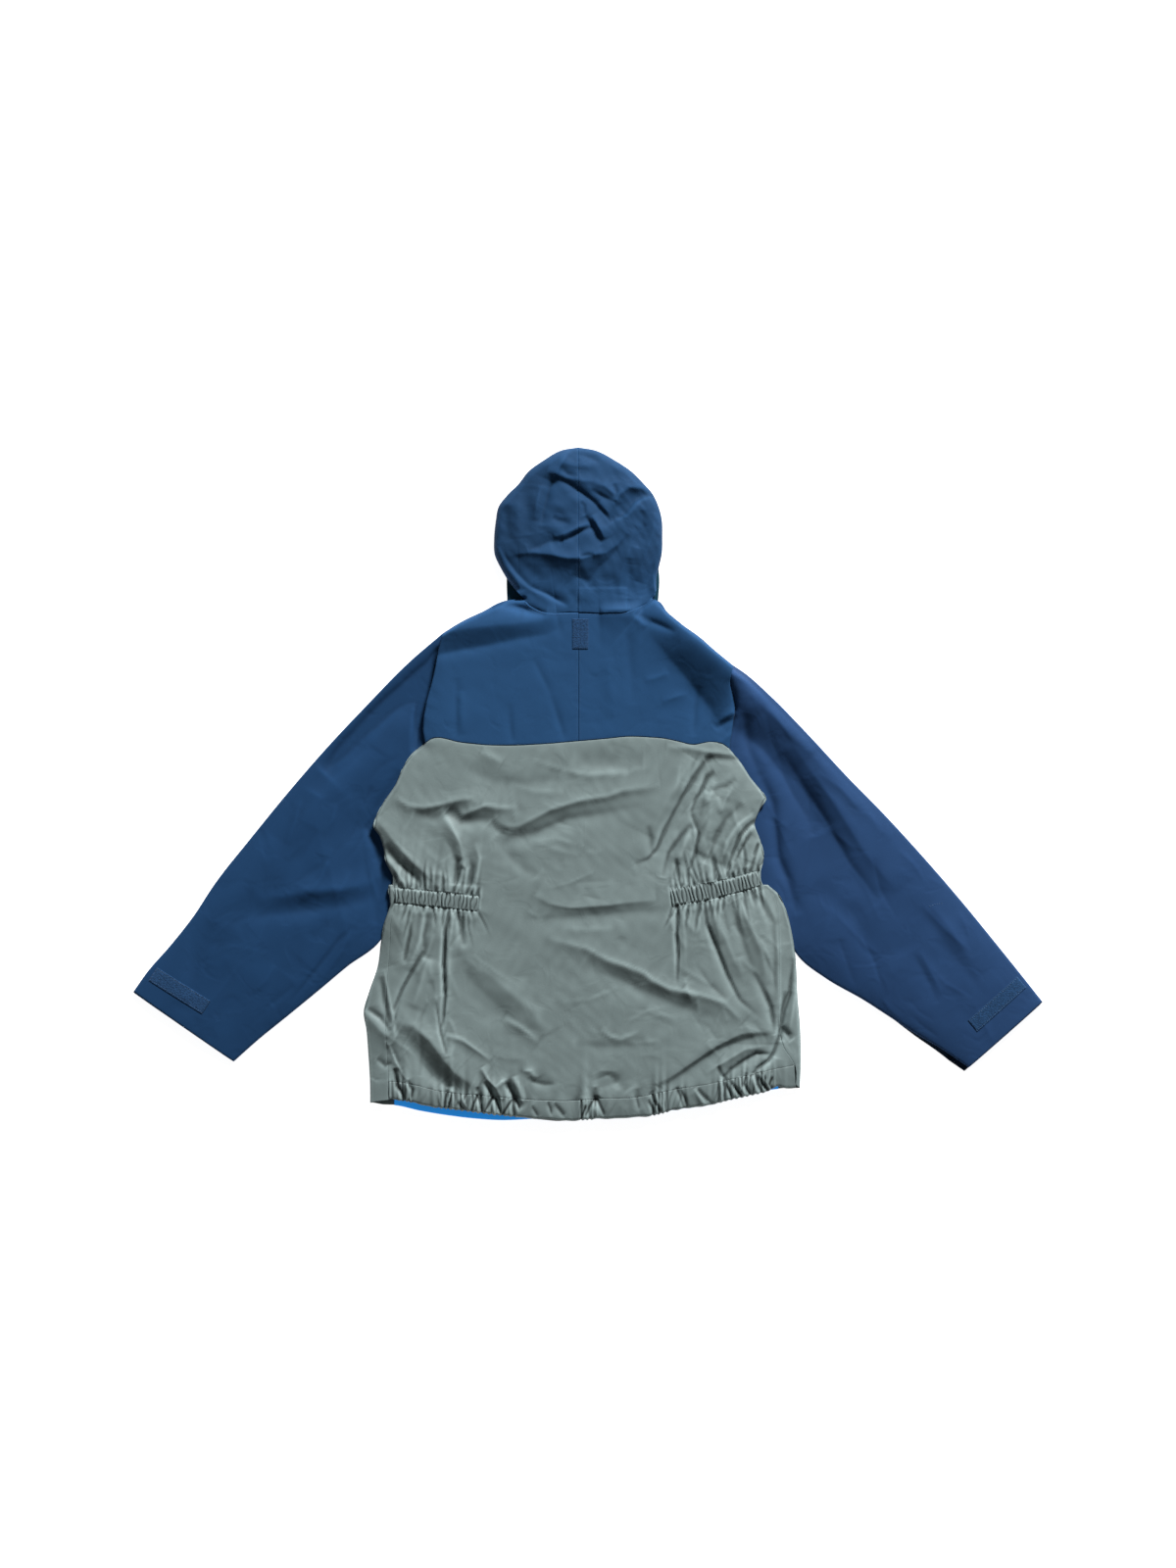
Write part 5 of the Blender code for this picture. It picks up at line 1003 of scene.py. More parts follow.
def wrapped_side(table, y, out):
    """One side of the front for each row: from the side seam over the folded edge, and under it to
    the surface. out is -1 on the left and 1 on the right."""
    fold, seam, floor, rim = (side_value(table, y, column) for column in (1, 2, 3, 4))
    columns = []
    for share in WRAP_OVER:
        over_x = seam + out * 0.05 + (fold - seam) * share
        over_y = y + CORNER_LIFT * (1 - share) * np.exp(-(y - y[0]) / 12)
        over_z = back_height(over_x, y, BODY_FOLDS, 1.0)
        over_z = over_z - 0.3 * np.exp(-np.abs(over_x - seam) / 1.2)
        columns.append(np.column_stack((over_x, over_y, over_z)))
    columns.append(np.column_stack((fold, y, rim)))
    for share, rise in WRAP_UNDER:
        columns.append(np.column_stack((floor + (fold - floor) * share, y, rim * rise)))
    columns.append(np.column_stack((floor, y, 0.02 + 0 * y)))
    return columns


hem_line = curve(FRONT_HEM_EDGE, np.linspace(0, 1, 300))
rows = np.linspace(0, 1, WRAP_ROWS)
left = wrapped_side(SIDE_LEFT, -481 + 329 * rows, -1)
right = wrapped_side(SIDE_RIGHT, -459 + 307 * rows, 1)
floor = []
for share in np.linspace(0, 1, 42)[1:-1]:
    points = left[-1] + (right[-1] - left[-1]) * share
    points[:, 1] += (np.interp(points[0, 0], hem_line[:, 0], hem_line[:, 1]) - points[0, 1]) * (1 - rows) ** 3
    floor.append(points)
front = np.stack(left + floor + right[::-1], axis=1)
front_body = cloth_piece("front_body_cloth", front, flip=True, wall=0.6)
front_body.data.materials.append(GREY_NYLON)
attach(front_body, "root")
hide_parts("front_body")


# ---- Front yoke ----------------------------------------------------------------------------------
# The navy upper front lies flat on the surface under the back yoke, from the grey front up to the
# shoulders and the throat. Nothing of it shows from above.

FRONT_TOP = 1.0
across = np.linspace(0, 1, 60)
low = left[-1][-1, :2] * (1 - across[:, None]) + right[-1][-1, :2] * across[:, None] + (0, 0.6)
rows = np.linspace(0, 1, 60)
sides = []
for armhole, inwards, corner in ((ARMHOLE_LEFT, 2.4, low[0]), (ARMHOLE_RIGHT, -2.4, low[-1])):
    edge = curve(armhole[::-1], rows)
    edge[:, 0] += inwards
    edge[0] = corner
    sides.append(edge)
neck_line = (tuple(sides[0][-1]), *SHOULDER_LEFT[1:4], *SHOULDER_RIGHT[1:-1], tuple(sides[1][-1]))
shares = run_shares(neck_line)
high = np.stack([np.interp(across, shares, np.array(neck_line)[:, axis]) for axis in (0, 1)], axis=-1)
plan = panel(low, high, sides[0], sides[1])
front_yoke = cloth_piece("front_yoke_cloth", raised(plan, FRONT_TOP), wall=0.8)
front_yoke.data.materials.append(NAVY_CLOTH)
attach(front_yoke, "root")
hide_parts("front_yoke")


# ---- Blue hem facing -----------------------------------------------------------------------------
# A band of bright blue nylon on the inside of the front's hem. A strip of it shows below the back
# hem at the left, and a sliver at the right.

BLUE = (0.019, 0.222, 0.640)
FACING_DEPTH = 25
BLUE_NYLON = cloth_finish("blue_nylon", BLUE, roughness=0.55, specular=0.10, sheen=0.0, threads=2600,
                          patches=0.05, slubs=0.05, fold_light_paint=0.10, creases=0.5, crease_size=30.0, crisp=0.3)
# The facing glows with its own blue: painted light that lifts it out of the back hem's shadow.
painted_light_shader = BLUE_NYLON.node_tree.nodes["Principled BSDF"]
painted_light_shader.inputs["Emission Color"].default_value = (*BLUE, 1)
painted_light_shader.inputs["Emission Strength"].default_value = 0.68
x = np.linspace(-291.5, 288.0, 260)
low = np.column_stack((x, np.interp(x, hem_line[:, 0], hem_line[:, 1]) - 0.4))
up = np.linspace(0, 1, 10)[:, None]
plan = low[None] + np.dstack((0 * up, FACING_DEPTH * up))
height = 2.4 + 0.3 * np.sin(x / 9.0) * np.sin(x / 23.0) - 0.8 * np.exp(-up * FACING_DEPTH / 1.5)
facing = cloth_piece("front_hem_facing_cloth", raised(plan, height), wall=0.6)
facing.data.materials.append(BLUE_NYLON)
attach(facing, "root")
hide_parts("front_hem_facing")


# ---- Sleeves -------------------------------------------------------------------------------------
# Long navy sleeves, each cut in one piece and wrapped round to one seam underneath. They lie flat
# with folded edges, and they are a little fuller near the armhole than at the cuff.

SLEEVE_LEFT_OUTER = ((-218, 228), (-267, 186), (-337, 115), (-387, 62), (-449, -9), (-507, -80),
                     (-563, -151), (-596, -201), (-630, -244), (-664, -283), (-686, -314))
SLEEVE_LEFT_INNER = ((-273.5, -120), (-280, -150), (-289.5, -186), (-298.5, -215), (-316.5, -241),
                     (-362, -275), (-399, -306), (-455, -352), (-497, -386), (-534, -419))
SLEEVE_RIGHT_OUTER = ((220, 179), (235, 169), (276, 133), (328, 80), (394, 9), (446, -44), (511, -115),
                      (572, -186), (616, -240), (653, -286), (687, -329))
SLEEVE_RIGHT_INNER = ((240, -105), (253.5, -150), (270.5, -186), (286.5, -215), (308, -246),
                      (319.5, -262), (359, -293), (418, -327), (455, -351), (495, -377), (534, -400),
                      (562, -419), (575, -428))
SLEEVE_FOLDS = (
    # left: a dark fold beside the armhole and a valley along the upper edge
    (-6.0, 6, 6, 2.4, 0.5, ((-224, 208), (-237, 172), (-246, 142), (-255, 100), (-260, 50))),
    (-11.5, 24, 16, 1.3, 0.4, ((-204, 196), (-234, 172), (-259, 151), (-309, 112), (-336, 89), (-370, 56),
                               (-402, 22))),
    (2.0, 12, 14, 1.5, 0.4, ((-262, 150), (-290, 110), (-330, 60))),
    (-3.2, 9, 8, 1.5, 0.5, ((-282, 20), (-316, -34), (-330, -66), (-318, -92), (-310, -140), (-322, -210))),
    (-2.6, 20, 12, 1.6, 0.6, ((-560, -208), (-500, -196), (-430, -188), (-370, -180), (-320, -166))),
    (2.6, 12, 14, 1.4, 0.6, ((-500, -178), (-430, -162), (-370, -158), (-320, -146))),
    (-2.6, 14, 16, 1.6, 0.5, ((-352, 72), (-384, 30), (-410, -14))),
    (-1.2, 3, 5, 1.2, 0.5, ((-450, -330), (-410, -280), (-376, -236), (-350, -212))),
    (-1.6, 16, 22, 1.7, 0.5, ((-420, -60), (-470, -150), (-500, -250))),
    (1.4, 18, 18, 1.7, 0.5, ((-470, -80), (-530, -170), (-580, -270))),
    (-1.2, 10, 14, 1.5, 0.5, ((-380, 30), (-430, -40), (-470, -110))),
    (-1.5, 12, 12, 1.6, 0.5, ((-560, -210), (-590, -260), (-600, -320))),
    (-1.4, 14, 14, 1.6, 0.5, ((-360, -180), (-410, -230), (-450, -290))),
    # right: a broad shade below the shoulder and soft streaks towards the cuff
    (-5.4, 36, 12, 1.4, 0.45, ((222, 88), (244, 70), (267, 53), (300, 12), (326, -30), (344, -76))),
    (7.5, 9, 34, 1.3, 0.4, ((226, 170), (262, 134), (300, 96), (344, 52))),
    (2.2, 14, 12, 1.5, 0.5, ((298, 96), (348, 46), (404, -16), (460, -80))),
    (-3.0, 8, 8, 1.5, 0.4, ((226, 140), (238, 96), (242, 56), (262, 10))),
    (3.0, 34, 10, 1.3, 0.5, ((306, 66), (372, -26), (420, -104), (466, -160))),
    (-3.4, 8, 30, 1.3, 0.5, ((292, 48), (352, -44), (396, -122), (440, -178))),
    (-3.4, 7, 9, 1.5, 0.5, ((258, 20), (280, -30), (284, -70), (288, -110), (304, -150), (316, -196))),
    (-0.7, 8, 14, 1.5, 0.5, ((498, -188), (522, -216), (550, -256), (600, -322))),
    (1.1, 9, 8, 1.3, 0.5, ((516, -180), (548, -220), (580, -270))),
    (-0.7, 5, 7, 1.3, 0.5, ((490, -254), (504, -278), (516, -300), (528, -330))),
    (0.9, 7, 6, 1.2, 0.5, ((500, -250), (516, -280), (534, -316))),
    (-1.6, 16, 16, 1.7, 0.5, ((340, -150), (400, -200), (440, -270))),
)
SLEEVE_FOLDS += (stray_creases(21, 70, ((-660, -360), (-240, 200)), (30, 75), (30, 120), (0.25, 0.8))
                 + stray_creases(22, 70, ((240, -380), (660, 150)), (-75, -30), (30, 120), (0.25, 0.8)))
SLEEVE_ROLL = 3.0
SLEEVE_WIDTH = 260        # of the sleeve laid flat, for its threads
SLEEVE_LENGTH = 600       # for the dip at its cuff
SHOULDER_Y = (60, 128)    # where the right sleeve begins to rise to the yoke, and has risen
CUFF_TURN = 14            # rings back from the cuff that the turned-in edge follows
SEAM_REACH = 60           # how far the yoke's tall shoulder ridge runs on into the right sleeve
LAYER_SHOWS = 9.5         # how far the lower layer shows past the right cuff, in shadow
FOLD_EDGE = 2.8           # height of the outermost line of a folded edge
# Share of a sleeve's length, then the height of its crown on the outer and on the inner side
SLEEVE_CROWN = ((0.0, 2.5, 1.9), (0.12, 6.0, 1.9), (0.30, 8.5, 1.9), (0.42, 8.5, 8.0), (0.75, 7.0, 7.0),
                (1.0, 4.5, 4.5))
RING_TOP = closer_at_ends(92, (0.002, 0.004, 0.007))
RING_UNDER = np.concatenate(([0.992, 0.97], np.linspace(0.93, 0.07, 24), [0.03, 0.008]))
RING_ROWS = np.concatenate((np.linspace(0, 0.975, 186), [0.985, 0.992, 0.996, 1.0]))


def sleeve_grid(outer, inner, armhole, across, along):
    """Plan of a sleeve laid flat: straight spans between its two edges, bent near the top so that
    the first one is the armhole."""
    start, end = curve(outer, along)[:, None], curve(inner, along)[:, None]
    plan = start + (end - start) * across[None, :, None]
    top, bottom = curve(armhole, np.array((0.0, 1.0)))
    bend = curve(armhole, across) - top - (bottom - top) * across[:, None]
    return plan + bend[None] * (np.clip(1 - along / 0.35, 0, 1) ** 2)[:, None, None]


def sleeve_top(plan, across, along, width):
    """Height of a sleeve's upper side: the roll of its edges, a flat-topped crown that is lower
    under the body's fold, its folds and a slight unevenness."""
    share, out_crown, in_crown = np.array(SLEEVE_CROWN).T
    crown_out, crown_in = (np.interp(along, share, crown)[:, None] for crown in (out_crown, in_crown))
    crown = crown_out + (crown_in - crown_out) * ease(across, 0.15, 0.45)[None]
    bulge = 1 - (2 * across[None] - 1) ** 4
    edge = np.minimum(across, 1 - across)[None] * width
    x, y = plan[..., 0], plan[..., 1]
    bumps = folds_at(SLEEVE_FOLDS, x, y, 1.4) * np.clip(bulge * 2, 0, 1) + 0.45 * uneven(x, y, 60, 21) * bulge
    return np.maximum(FOLD_EDGE * (1 + rolled(edge, SLEEVE_ROLL)) + crown * bulge + bumps, 1.2)


# Both sleeves are darker copies of the yoke's navy: painted shade, deeper on the left sleeve than on the
# right.
SLEEVE_CLOTH = {
    "left": cloth_finish("navy_left_sleeve", (0.0120, 0.0500, 0.1310), roughness=0.78, specular=0.12,
                         sheen=0.01, threads=1500, patches=0.10, slubs=0.12, fold_light_paint=0.16, creases=1.0,
                         crease_size=22.0, crisp=0.5),
    "right": cloth_finish("navy_right_sleeve", (0.0190, 0.0570, 0.1500), roughness=0.78, specular=0.12,
                          sheen=0.01, threads=1500, patches=0.10, slubs=0.12, fold_light_paint=0.16, creases=1.0,
                          crease_size=22.0, crisp=0.5),
}
# A near-black navy: painted shadow, for the lower layer that shows past the right cuff's folded edge.
SHADED_NAVY = cloth_finish("shaded_navy_cloth", (0.0035, 0.0110, 0.0260), roughness=0.85, specular=0.05,
                           sheen=0.0, threads=1500, patches=0.05, slubs=0.05, fold_light_paint=0.05, creases=0.5,
                           crease_size=30.0, crisp=0.3)
sleeve_tops = {}
for side, outer, inner, armhole in (("left", SLEEVE_LEFT_OUTER, SLEEVE_LEFT_INNER, ARMHOLE_LEFT),
                                    ("right", SLEEVE_RIGHT_OUTER, SLEEVE_RIGHT_INNER, ARMHOLE_RIGHT)):
    over = sleeve_grid(outer, inner, armhole, RING_TOP, RING_ROWS)
    under = sleeve_grid(outer, inner, armhole, RING_UNDER, RING_ROWS)
    width = np.linalg.norm(over[:, -1] - over[:, 0], axis=-1)[:, None]
    if side == "right":
        past = LAYER_SHOWS * np.clip((RING_ROWS - 0.68) / 0.26, 0, 1)[:, None] * RING_UNDER[None] ** 2
        under = under + past[..., None] * ((over[:, -1] - over[:, 0]) / width)[:, None]
    top = sleeve_top(over, RING_TOP, RING_ROWS, width)
    if side == "right":
        x, y = over[..., 0], over[..., 1]
        near = (1 - ease(beside(armhole, x, y)[0], 0, SEAM_REACH)) * ease(y, *SHOULDER_Y)
        inside = ease(np.minimum(RING_TOP, 1 - RING_TOP)[None] * width, 0, 12)
        top += np.maximum(yoke_height(x, y) - 0.8 - top, 0) * near * inside
    edge = np.minimum(RING_UNDER, 1 - RING_UNDER)[None] * width
    bottom = FOLD_EDGE * (1 - rolled(edge, SLEEVE_ROLL))
    end = 0.7 * np.exp(-(1 - RING_ROWS) * SLEEVE_LENGTH / 1.5)[:, None]
    rings = np.concatenate((raised(over, top - end), raised(under, bottom + end)), axis=1)
    middle = rings[-1].mean(axis=0)
    back_up = rings[-CUFF_TURN] - rings[-1]
    turned = [rings[-1] + back_up * share + (middle - rings[-1]) * 0.012 for share in (0.05, 0.5, 1.0)]
    for ring in turned:
        ring[:, 2] = rings[-1, :, 2] * 0.78 + 0.9
    inwards = 6.0 if side == "left" else -6.0
    tuck = rings[0] + (inwards, 0, 0)
    tuck[:, 2] = np.clip(rings[0, :, 2] * 0.75, 0, None)
    rings = np.concatenate((tuck[None], rings, np.stack(turned)))
    run = np.cumsum(np.linalg.norm(np.diff(rings[:, :1, :2], axis=0), axis=-1), axis=0)
    run = np.concatenate(([[0.0]], run))
    round_way = np.linspace(0, 1, rings.shape[1])[None] * 2 * SLEEVE_WIDTH
    threads = np.dstack((np.broadcast_to(round_way, rings.shape[:2]),
                         np.broadcast_to(run, rings.shape[:2])))
    sleeve = cloth_piece("sleeve_" + side + "_cloth", rings, threads, ring=True, flip=side == "left",
                         wall=0.5)
    sleeve.data.materials.append(SLEEVE_CLOTH[side])
    if side == "right":
        # The faces along the inner edge towards the cuff take the painted-shadow navy.
        sleeve.data.materials.append(SHADED_NAVY)
        shaded = np.zeros((rings.shape[0] - 1, rings.shape[1]), np.int32)
        shaded[len(RING_ROWS) * 2 // 3:, len(RING_TOP) - 1:len(RING_TOP) + 1] = 1
        sleeve.data.polygons.foreach_set("material_index", shaded.ravel())
    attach(sleeve, "root")
    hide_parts("sleeve_" + side)
    sleeve_tops[side] = over.reshape(-1, 2), top.ravel()


# ---- Cuff tapes ----------------------------------------------------------------------------------
# A strip of loop tape is stitched across each sleeve near the cuff. Its face is a fuzz of tiny
# loops, so it looks speckled, and its two long edges are sewn down with lighter thread.

TAPES = {
    "left": ((-649, -276.5), (-568, -327), (-581, -347), (-662, -296.5)),
    "right": ((573, -357), (648, -290), (662, -307), (587, -374)),
}
TAPE_WIDTH = 25
TAPE_LENGTH = 95


def loop_tape_finish(name, colour):
    """Loop tape: a matt fuzz whose bump comes from a pattern of cells and a noise, and its tone from the
    noise.
    """
    finish = bpy.data.materials.new(name)
    finish.use_nodes = True
    tree = finish.node_tree
    shader = tree.nodes["Principled BSDF"]
    shader.inputs["Roughness"].default_value = 0.95
    shader.inputs["Sheen Weight"].default_value = 0.05
    shader.inputs["Sheen Roughness"].default_value = 0.6
    shader.inputs["Specular IOR Level"].default_value = 0.15
    place = node(tree, "ShaderNodeTexCoord").outputs["Object"]
    loops = node(tree, "ShaderNodeTexVoronoi")
    loops.inputs["Scale"].default_value = 620.0
    tree.links.new(place, loops.inputs["Vector"])
    clumps = node(tree, "ShaderNodeTexNoise")
    clumps.inputs["Scale"].default_value = 330.0
    clumps.inputs["Detail"].default_value = 3.0
    tree.links.new(place, clumps.inputs["Vector"])
    tone = sum_of(tree, "MULTIPLY_ADD", clumps.outputs[0], 1.5, 0.28)
    tint = node(tree, "ShaderNodeVectorMath", operation="SCALE")
    tint.inputs[0].default_value = colour
    tree.links.new(tone, tint.inputs["Scale"])
    tree.links.new(tint.outputs[0], shader.inputs["Base Color"])
    fuzz = sum_of(tree, "ADD", sum_of(tree, "MULTIPLY", loops.outputs["Distance"], -1.0), clumps.outputs[0])
    bump = node(tree, "ShaderNodeBump")
    bump.inputs["Strength"].default_value = 0.8
    bump.inputs["Distance"].default_value = 0.6 * MM
    tree.links.new(fuzz, bump.inputs["Height"])
    tree.links.new(bump.outputs[0], shader.inputs["Normal"])
    return finish


def height_near(tops, x, y):
    """Height of a sleeve's upper side at a few places, from its nearest grid points."""
    plan, height = tops
    away = np.hypot(plan[:, 0][None] - x.ravel()[:, None], plan[:, 1][None] - y.ravel()[:, None])
    nearest = np.argpartition(away, 4, axis=1)[:, :4]
    weight = 1 / (np.take_along_axis(away, nearest, axis=1) + 0.3)
    return ((height[nearest] * weight).sum(axis=1) / weight.sum(axis=1)).reshape(np.shape(x))


LOOP_TAPE = loop_tape_finish("loop_tape", (0.0160, 0.0560, 0.1380))
tape_grids = {}
for side, corners in TAPES.items():
    a, b, c, d = np.array(corners, float)
    across = np.linspace(0, 1, 61)[None, :, None]
    up = np.concatenate(([0.0, 0.02, 0.05], np.linspace(0.1, 0.9, 15), [0.95, 0.98, 1.0]))[:, None, None]
    plan = (d + (c - d) * across) * (1 - up) + (a + (b - a) * across) * up
    from_side = np.minimum(up, 1 - up)[..., 0] * TAPE_WIDTH
    edge = np.minimum(from_side, np.minimum(across, 1 - across)[..., 0] * TAPE_LENGTH)
    sunk = 0.5 * np.exp(-((from_side - 2.2) / 0.7) ** 2)
    sleeve_height = height_near(sleeve_tops[side], plan[..., 0], plan[..., 1])
    height = sleeve_height + 0.3 + 0.6 * rolled(edge, 1.0) - 0.6 * sunk
    tape = cloth_piece("cuff_tape_" + side + "_cloth", raised(plan, height), wall=0.7)
    tape.data.materials.append(LOOP_TAPE)
    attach(tape, "root")
    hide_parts("cuff_tape_" + side)
    tape_grids[side] = (a, b, c, d)


# ---- Hood ----------------------------------------------------------------------------------------
# Two navy halves, joined down the middle. The hood lies open side down, puffed up in the middle and
# crumpled towards the neck, and its edge turns under to the open face.

HOOD_LEFT = ((-109, 293), (-121, 309), (-131, 326), (-140, 346), (-141, 370), (-138, 400), (-135, 417),
             (-122, 435), (-104, 453), (-90, 471), (-67, 488), (-41, 503), (-14, 508))
HOOD_RIGHT = ((104, 293), (104, 311), (108, 328), (112, 346), (113, 373), (112, 400), (107, 419), (98, 438),
              (85, 453), (67, 471), (42, 488), (13, 503), (-14, 508))
HOOD_FOLDS = (
    # the deep crease across the crown: a steep dark side above it and a flat facet below
    (-4.6, 3.6, 9, 1.1, 0.5, ((-60, 466), (-45, 460), (-29.6, 453), (-7.5, 438.3), (9.7, 424.8), (36, 394))),
    (3.4, 12, 8, 1.05, 0.5, ((-62, 472), (-45, 466), (-29.6, 461), (-10, 456), (13, 455), (30, 448))),
    (-2.4, 3, 5, 1.2, 0.5, ((4, 443), (11, 439.5), (26, 431), (44, 423))),
    (2.8, 8, 6, 1.1, 0.5, ((8, 452), (26, 448), (40, 436), (46, 420))),
    (-3.0, 4, 4, 1.2, 0.5, ((40, 452), (43, 440), (41, 428))),
    (3.0, 6, 5, 1.1, 0.5, ((16, 424), (30, 410), (36, 396))),
    (-2.6, 4, 4, 1.2, 0.5, ((-42, 478), (-30, 466), (-14, 463))),
    (2.2, 8, 6, 1.2, 0.5, ((-44, 488), (-20, 480), (6, 478))),
    (-1.8, 5, 5, 1.3, 0.5, ((-24, 500), (-2, 494), (18, 484))),
    # the narrow dark valley at the left, and the darker panel beyond it
    (-4.4, 8, 6, 1.1, 0.5, ((-47, 462), (-50.5, 456), (-56.6, 447), (-61.5, 427), (-66.4, 410), (-69, 390))),
    (5.0, 5, 20, 1.05, 0.6, ((-24, 510), (-34, 492), (-44, 474), (-52, 456))),
    (3.2, 8, 6, 1.1, 0.5, ((-70, 450), (-76, 424), (-80, 398))),
    (-2.8, 10, 12, 1.5, 0.5, ((-88, 448), (-92, 410), (-88, 376))),
    (2.4, 10, 10, 1.3, 0.5, ((-100, 440), (-106, 404), (-102, 370))),
    (-2.2, 8, 8, 1.5, 0.5, ((-120, 420), (-122, 392), (-116, 366))),
    # the middle: two crisp notches below the flat facet
    (-3.8, 2.8, 6, 1.1, 0.45, ((-4, 404), (-0.4, 399), (6, 390.4), (19.5, 367), (22, 362))),
    (4.6, 7, 4, 1.05, 0.5, ((6, 404), (14, 392), (26, 368))),
    (-4.6, 6, 2.8, 1.1, 0.4, ((8, 388), (4.8, 386.7), (-9.9, 380.6), (-29.6, 369.5), (-44, 364))),
    (3.0, 6, 5, 1.1, 0.5, ((2, 392), (-14, 386), (-34, 376), (-52, 372))),
    (-3.4, 6, 8, 1.3, 0.5, ((-36, 366), (-58, 364.6), (-73, 357), (-90, 352))),
    (-1.8, 4, 4, 1.2, 0.5, ((-54, 401), (-40, 396), (-26, 391))),
    (-2.4, 3, 4, 1.2, 0.5, ((-10, 425), (-5, 418), (-4, 404))),
    # the deep V above the neck: a crisp crest with the dark valley below it
    (3.6, 16, 5, 1.05, 0.5, ((-122, 342), (-100, 347), (-78.7, 348), (-54, 344), (-29.6, 339.5), (-10, 339),
                             (8.5, 344.5), (27, 347.5), (44, 360), (60, 380))),
    (4.4, 12, 28, 1.3, 0.5, ((-104, 346), (-78, 347), (-54, 343), (-30, 338), (-8, 338), (12, 345),
                             (40, 358))),
    (-1.6, 8, 16, 1.25, 0.6, ((-112, 330), (-96, 326), (-73.8, 326), (-39.4, 326), (-10, 318), (6, 303))),
    (-2.2, 6, 10, 1.2, 0.35, ((-4, 300), (4, 308), (14.6, 324), (31.8, 339), (51.4, 361), (62, 376))),
    (-1.5, 4, 4, 1.1, 0.5, ((-26, 315), (-8, 309), (4, 304))),
    (-3.0, 3, 4, 1.1, 0.5, ((-12, 342), (-2, 344), (10, 344.5))),
    # the left edge's ridge, which runs down into the neck
    (1.2, 7, 7, 1.05, 0.5, ((-140, 366), (-131, 348), (-117, 322), (-101, 303), (-84, 290), (-59, 281),
                            (-30, 266))),
    (-2.6, 8, 5, 1.2, 0.5, ((-134, 362), (-124, 342), (-107, 318), (-88, 299), (-72, 292))),
    (-3.6, 5, 4, 1.15, 0.6, ((-86, 297), (-61, 286), (-44, 276), (-28, 268))),
    (3.0, 6, 6, 1.1, 0.5, ((-100, 290), (-92, 278), (-76, 266))),
    # right side: a dark band under a crest, then soft upright folds
    (-5.4, 14, 6, 1.2, 0.5, ((30, 396), (36, 400), (51.4, 403), (68.6, 424.8), (83.3, 434.6), (106, 438))),
    (4.2, 12, 6, 1.1, 0.5, ((34, 412), (46, 434), (62, 447), (96, 444))),
    (4.0, 8, 8, 1.1, 0.5, ((40, 396), (60, 404), (78, 426), (96, 432))),
    (-3.2, 7, 8, 1.3, 0.5, ((82, 412), (84, 388), (74, 356))),
    (3.4, 8, 7, 1.15, 0.5, ((102, 410), (98, 376), (86, 342), (74, 306))),
    (-3.0, 7, 7, 1.3, 0.5, ((110, 376), (102, 340), (92, 308), (84, 280))),
    (3.0, 9, 9, 1.2, 0.5, ((70, 384), (62, 350), (52, 318), (48, 286))),
    (-2.4, 8, 8, 1.4, 0.5, ((64, 340), (62, 310), (60, 280))),
)
HOOD_EDGE = 4.0
HOOD_ROLL = 10.0
HOOD_RISE = 12.0
HOOD_RISE_REACH = 45.0
HOOD_OPEN = 120.0         # distance from the neck seam over which the hood leaves the yoke's height
HOOD_OUTLINE = HOOD_LEFT + HOOD_RIGHT[-2::-1]
# The hood's navy is a darker copy of the yoke's: painted shade.
NAVY_HOOD = cloth_finish("navy_hood_cloth", (0.0146, 0.0568, 0.1390), roughness=0.76, specular=0.14,
                         sheen=0.01, threads=1500, patches=0.08, slubs=0.12, fold_light_paint=0.16, creases=1.0,
                         crease_size=30.0, crisp=0.5)


def hood_height(x, y):
    """Height of the hood: a low puffed dome that leaves the yoke's height at the neck, with its
    folds, which fade at its edge."""
    away, _, _ = beside(curve(HOOD_OUTLINE, np.linspace(0, 1, 100)), x, y)
    dome = HOOD_EDGE + HOOD_ROLL * rolled(away, HOOD_ROLL) + HOOD_RISE * (1 - np.exp(-away / HOOD_RISE_REACH))
    bumps = folds_at(HOOD_FOLDS, x, y, 1.15) + 0.7 * uneven(x, y, 40, 31) + 0.3 * uneven(x, y, 17, 32)
    bumps *= np.clip((dome - HOOD_EDGE) / 12, 0, 1)
    away, _, _ = beside(NECK_SEAM, x, y)
    share = ease(away, 8, 8 + HOOD_OPEN)
    facing = 0.9 * ease(x, CENTRE_X - 0.8, CENTRE_X + 0.8) * (1 - ease(x, 58, 61)) * (1 - ease(y, 294, 297))
    low = np.minimum(yoke_height(x, y), dome) + bumps * ease(away, 2, 22) + facing
    return low * (1 - share) + (dome + bumps) * share


def inward(line):
    """For each point of a line that runs with the shape on its right, the step into the shape."""
    along = np.gradient(line, axis=0)
    along /= np.linalg.norm(along, axis=1)[:, None]
    return np.stack((along[:, 1], -along[:, 0]), axis=-1)


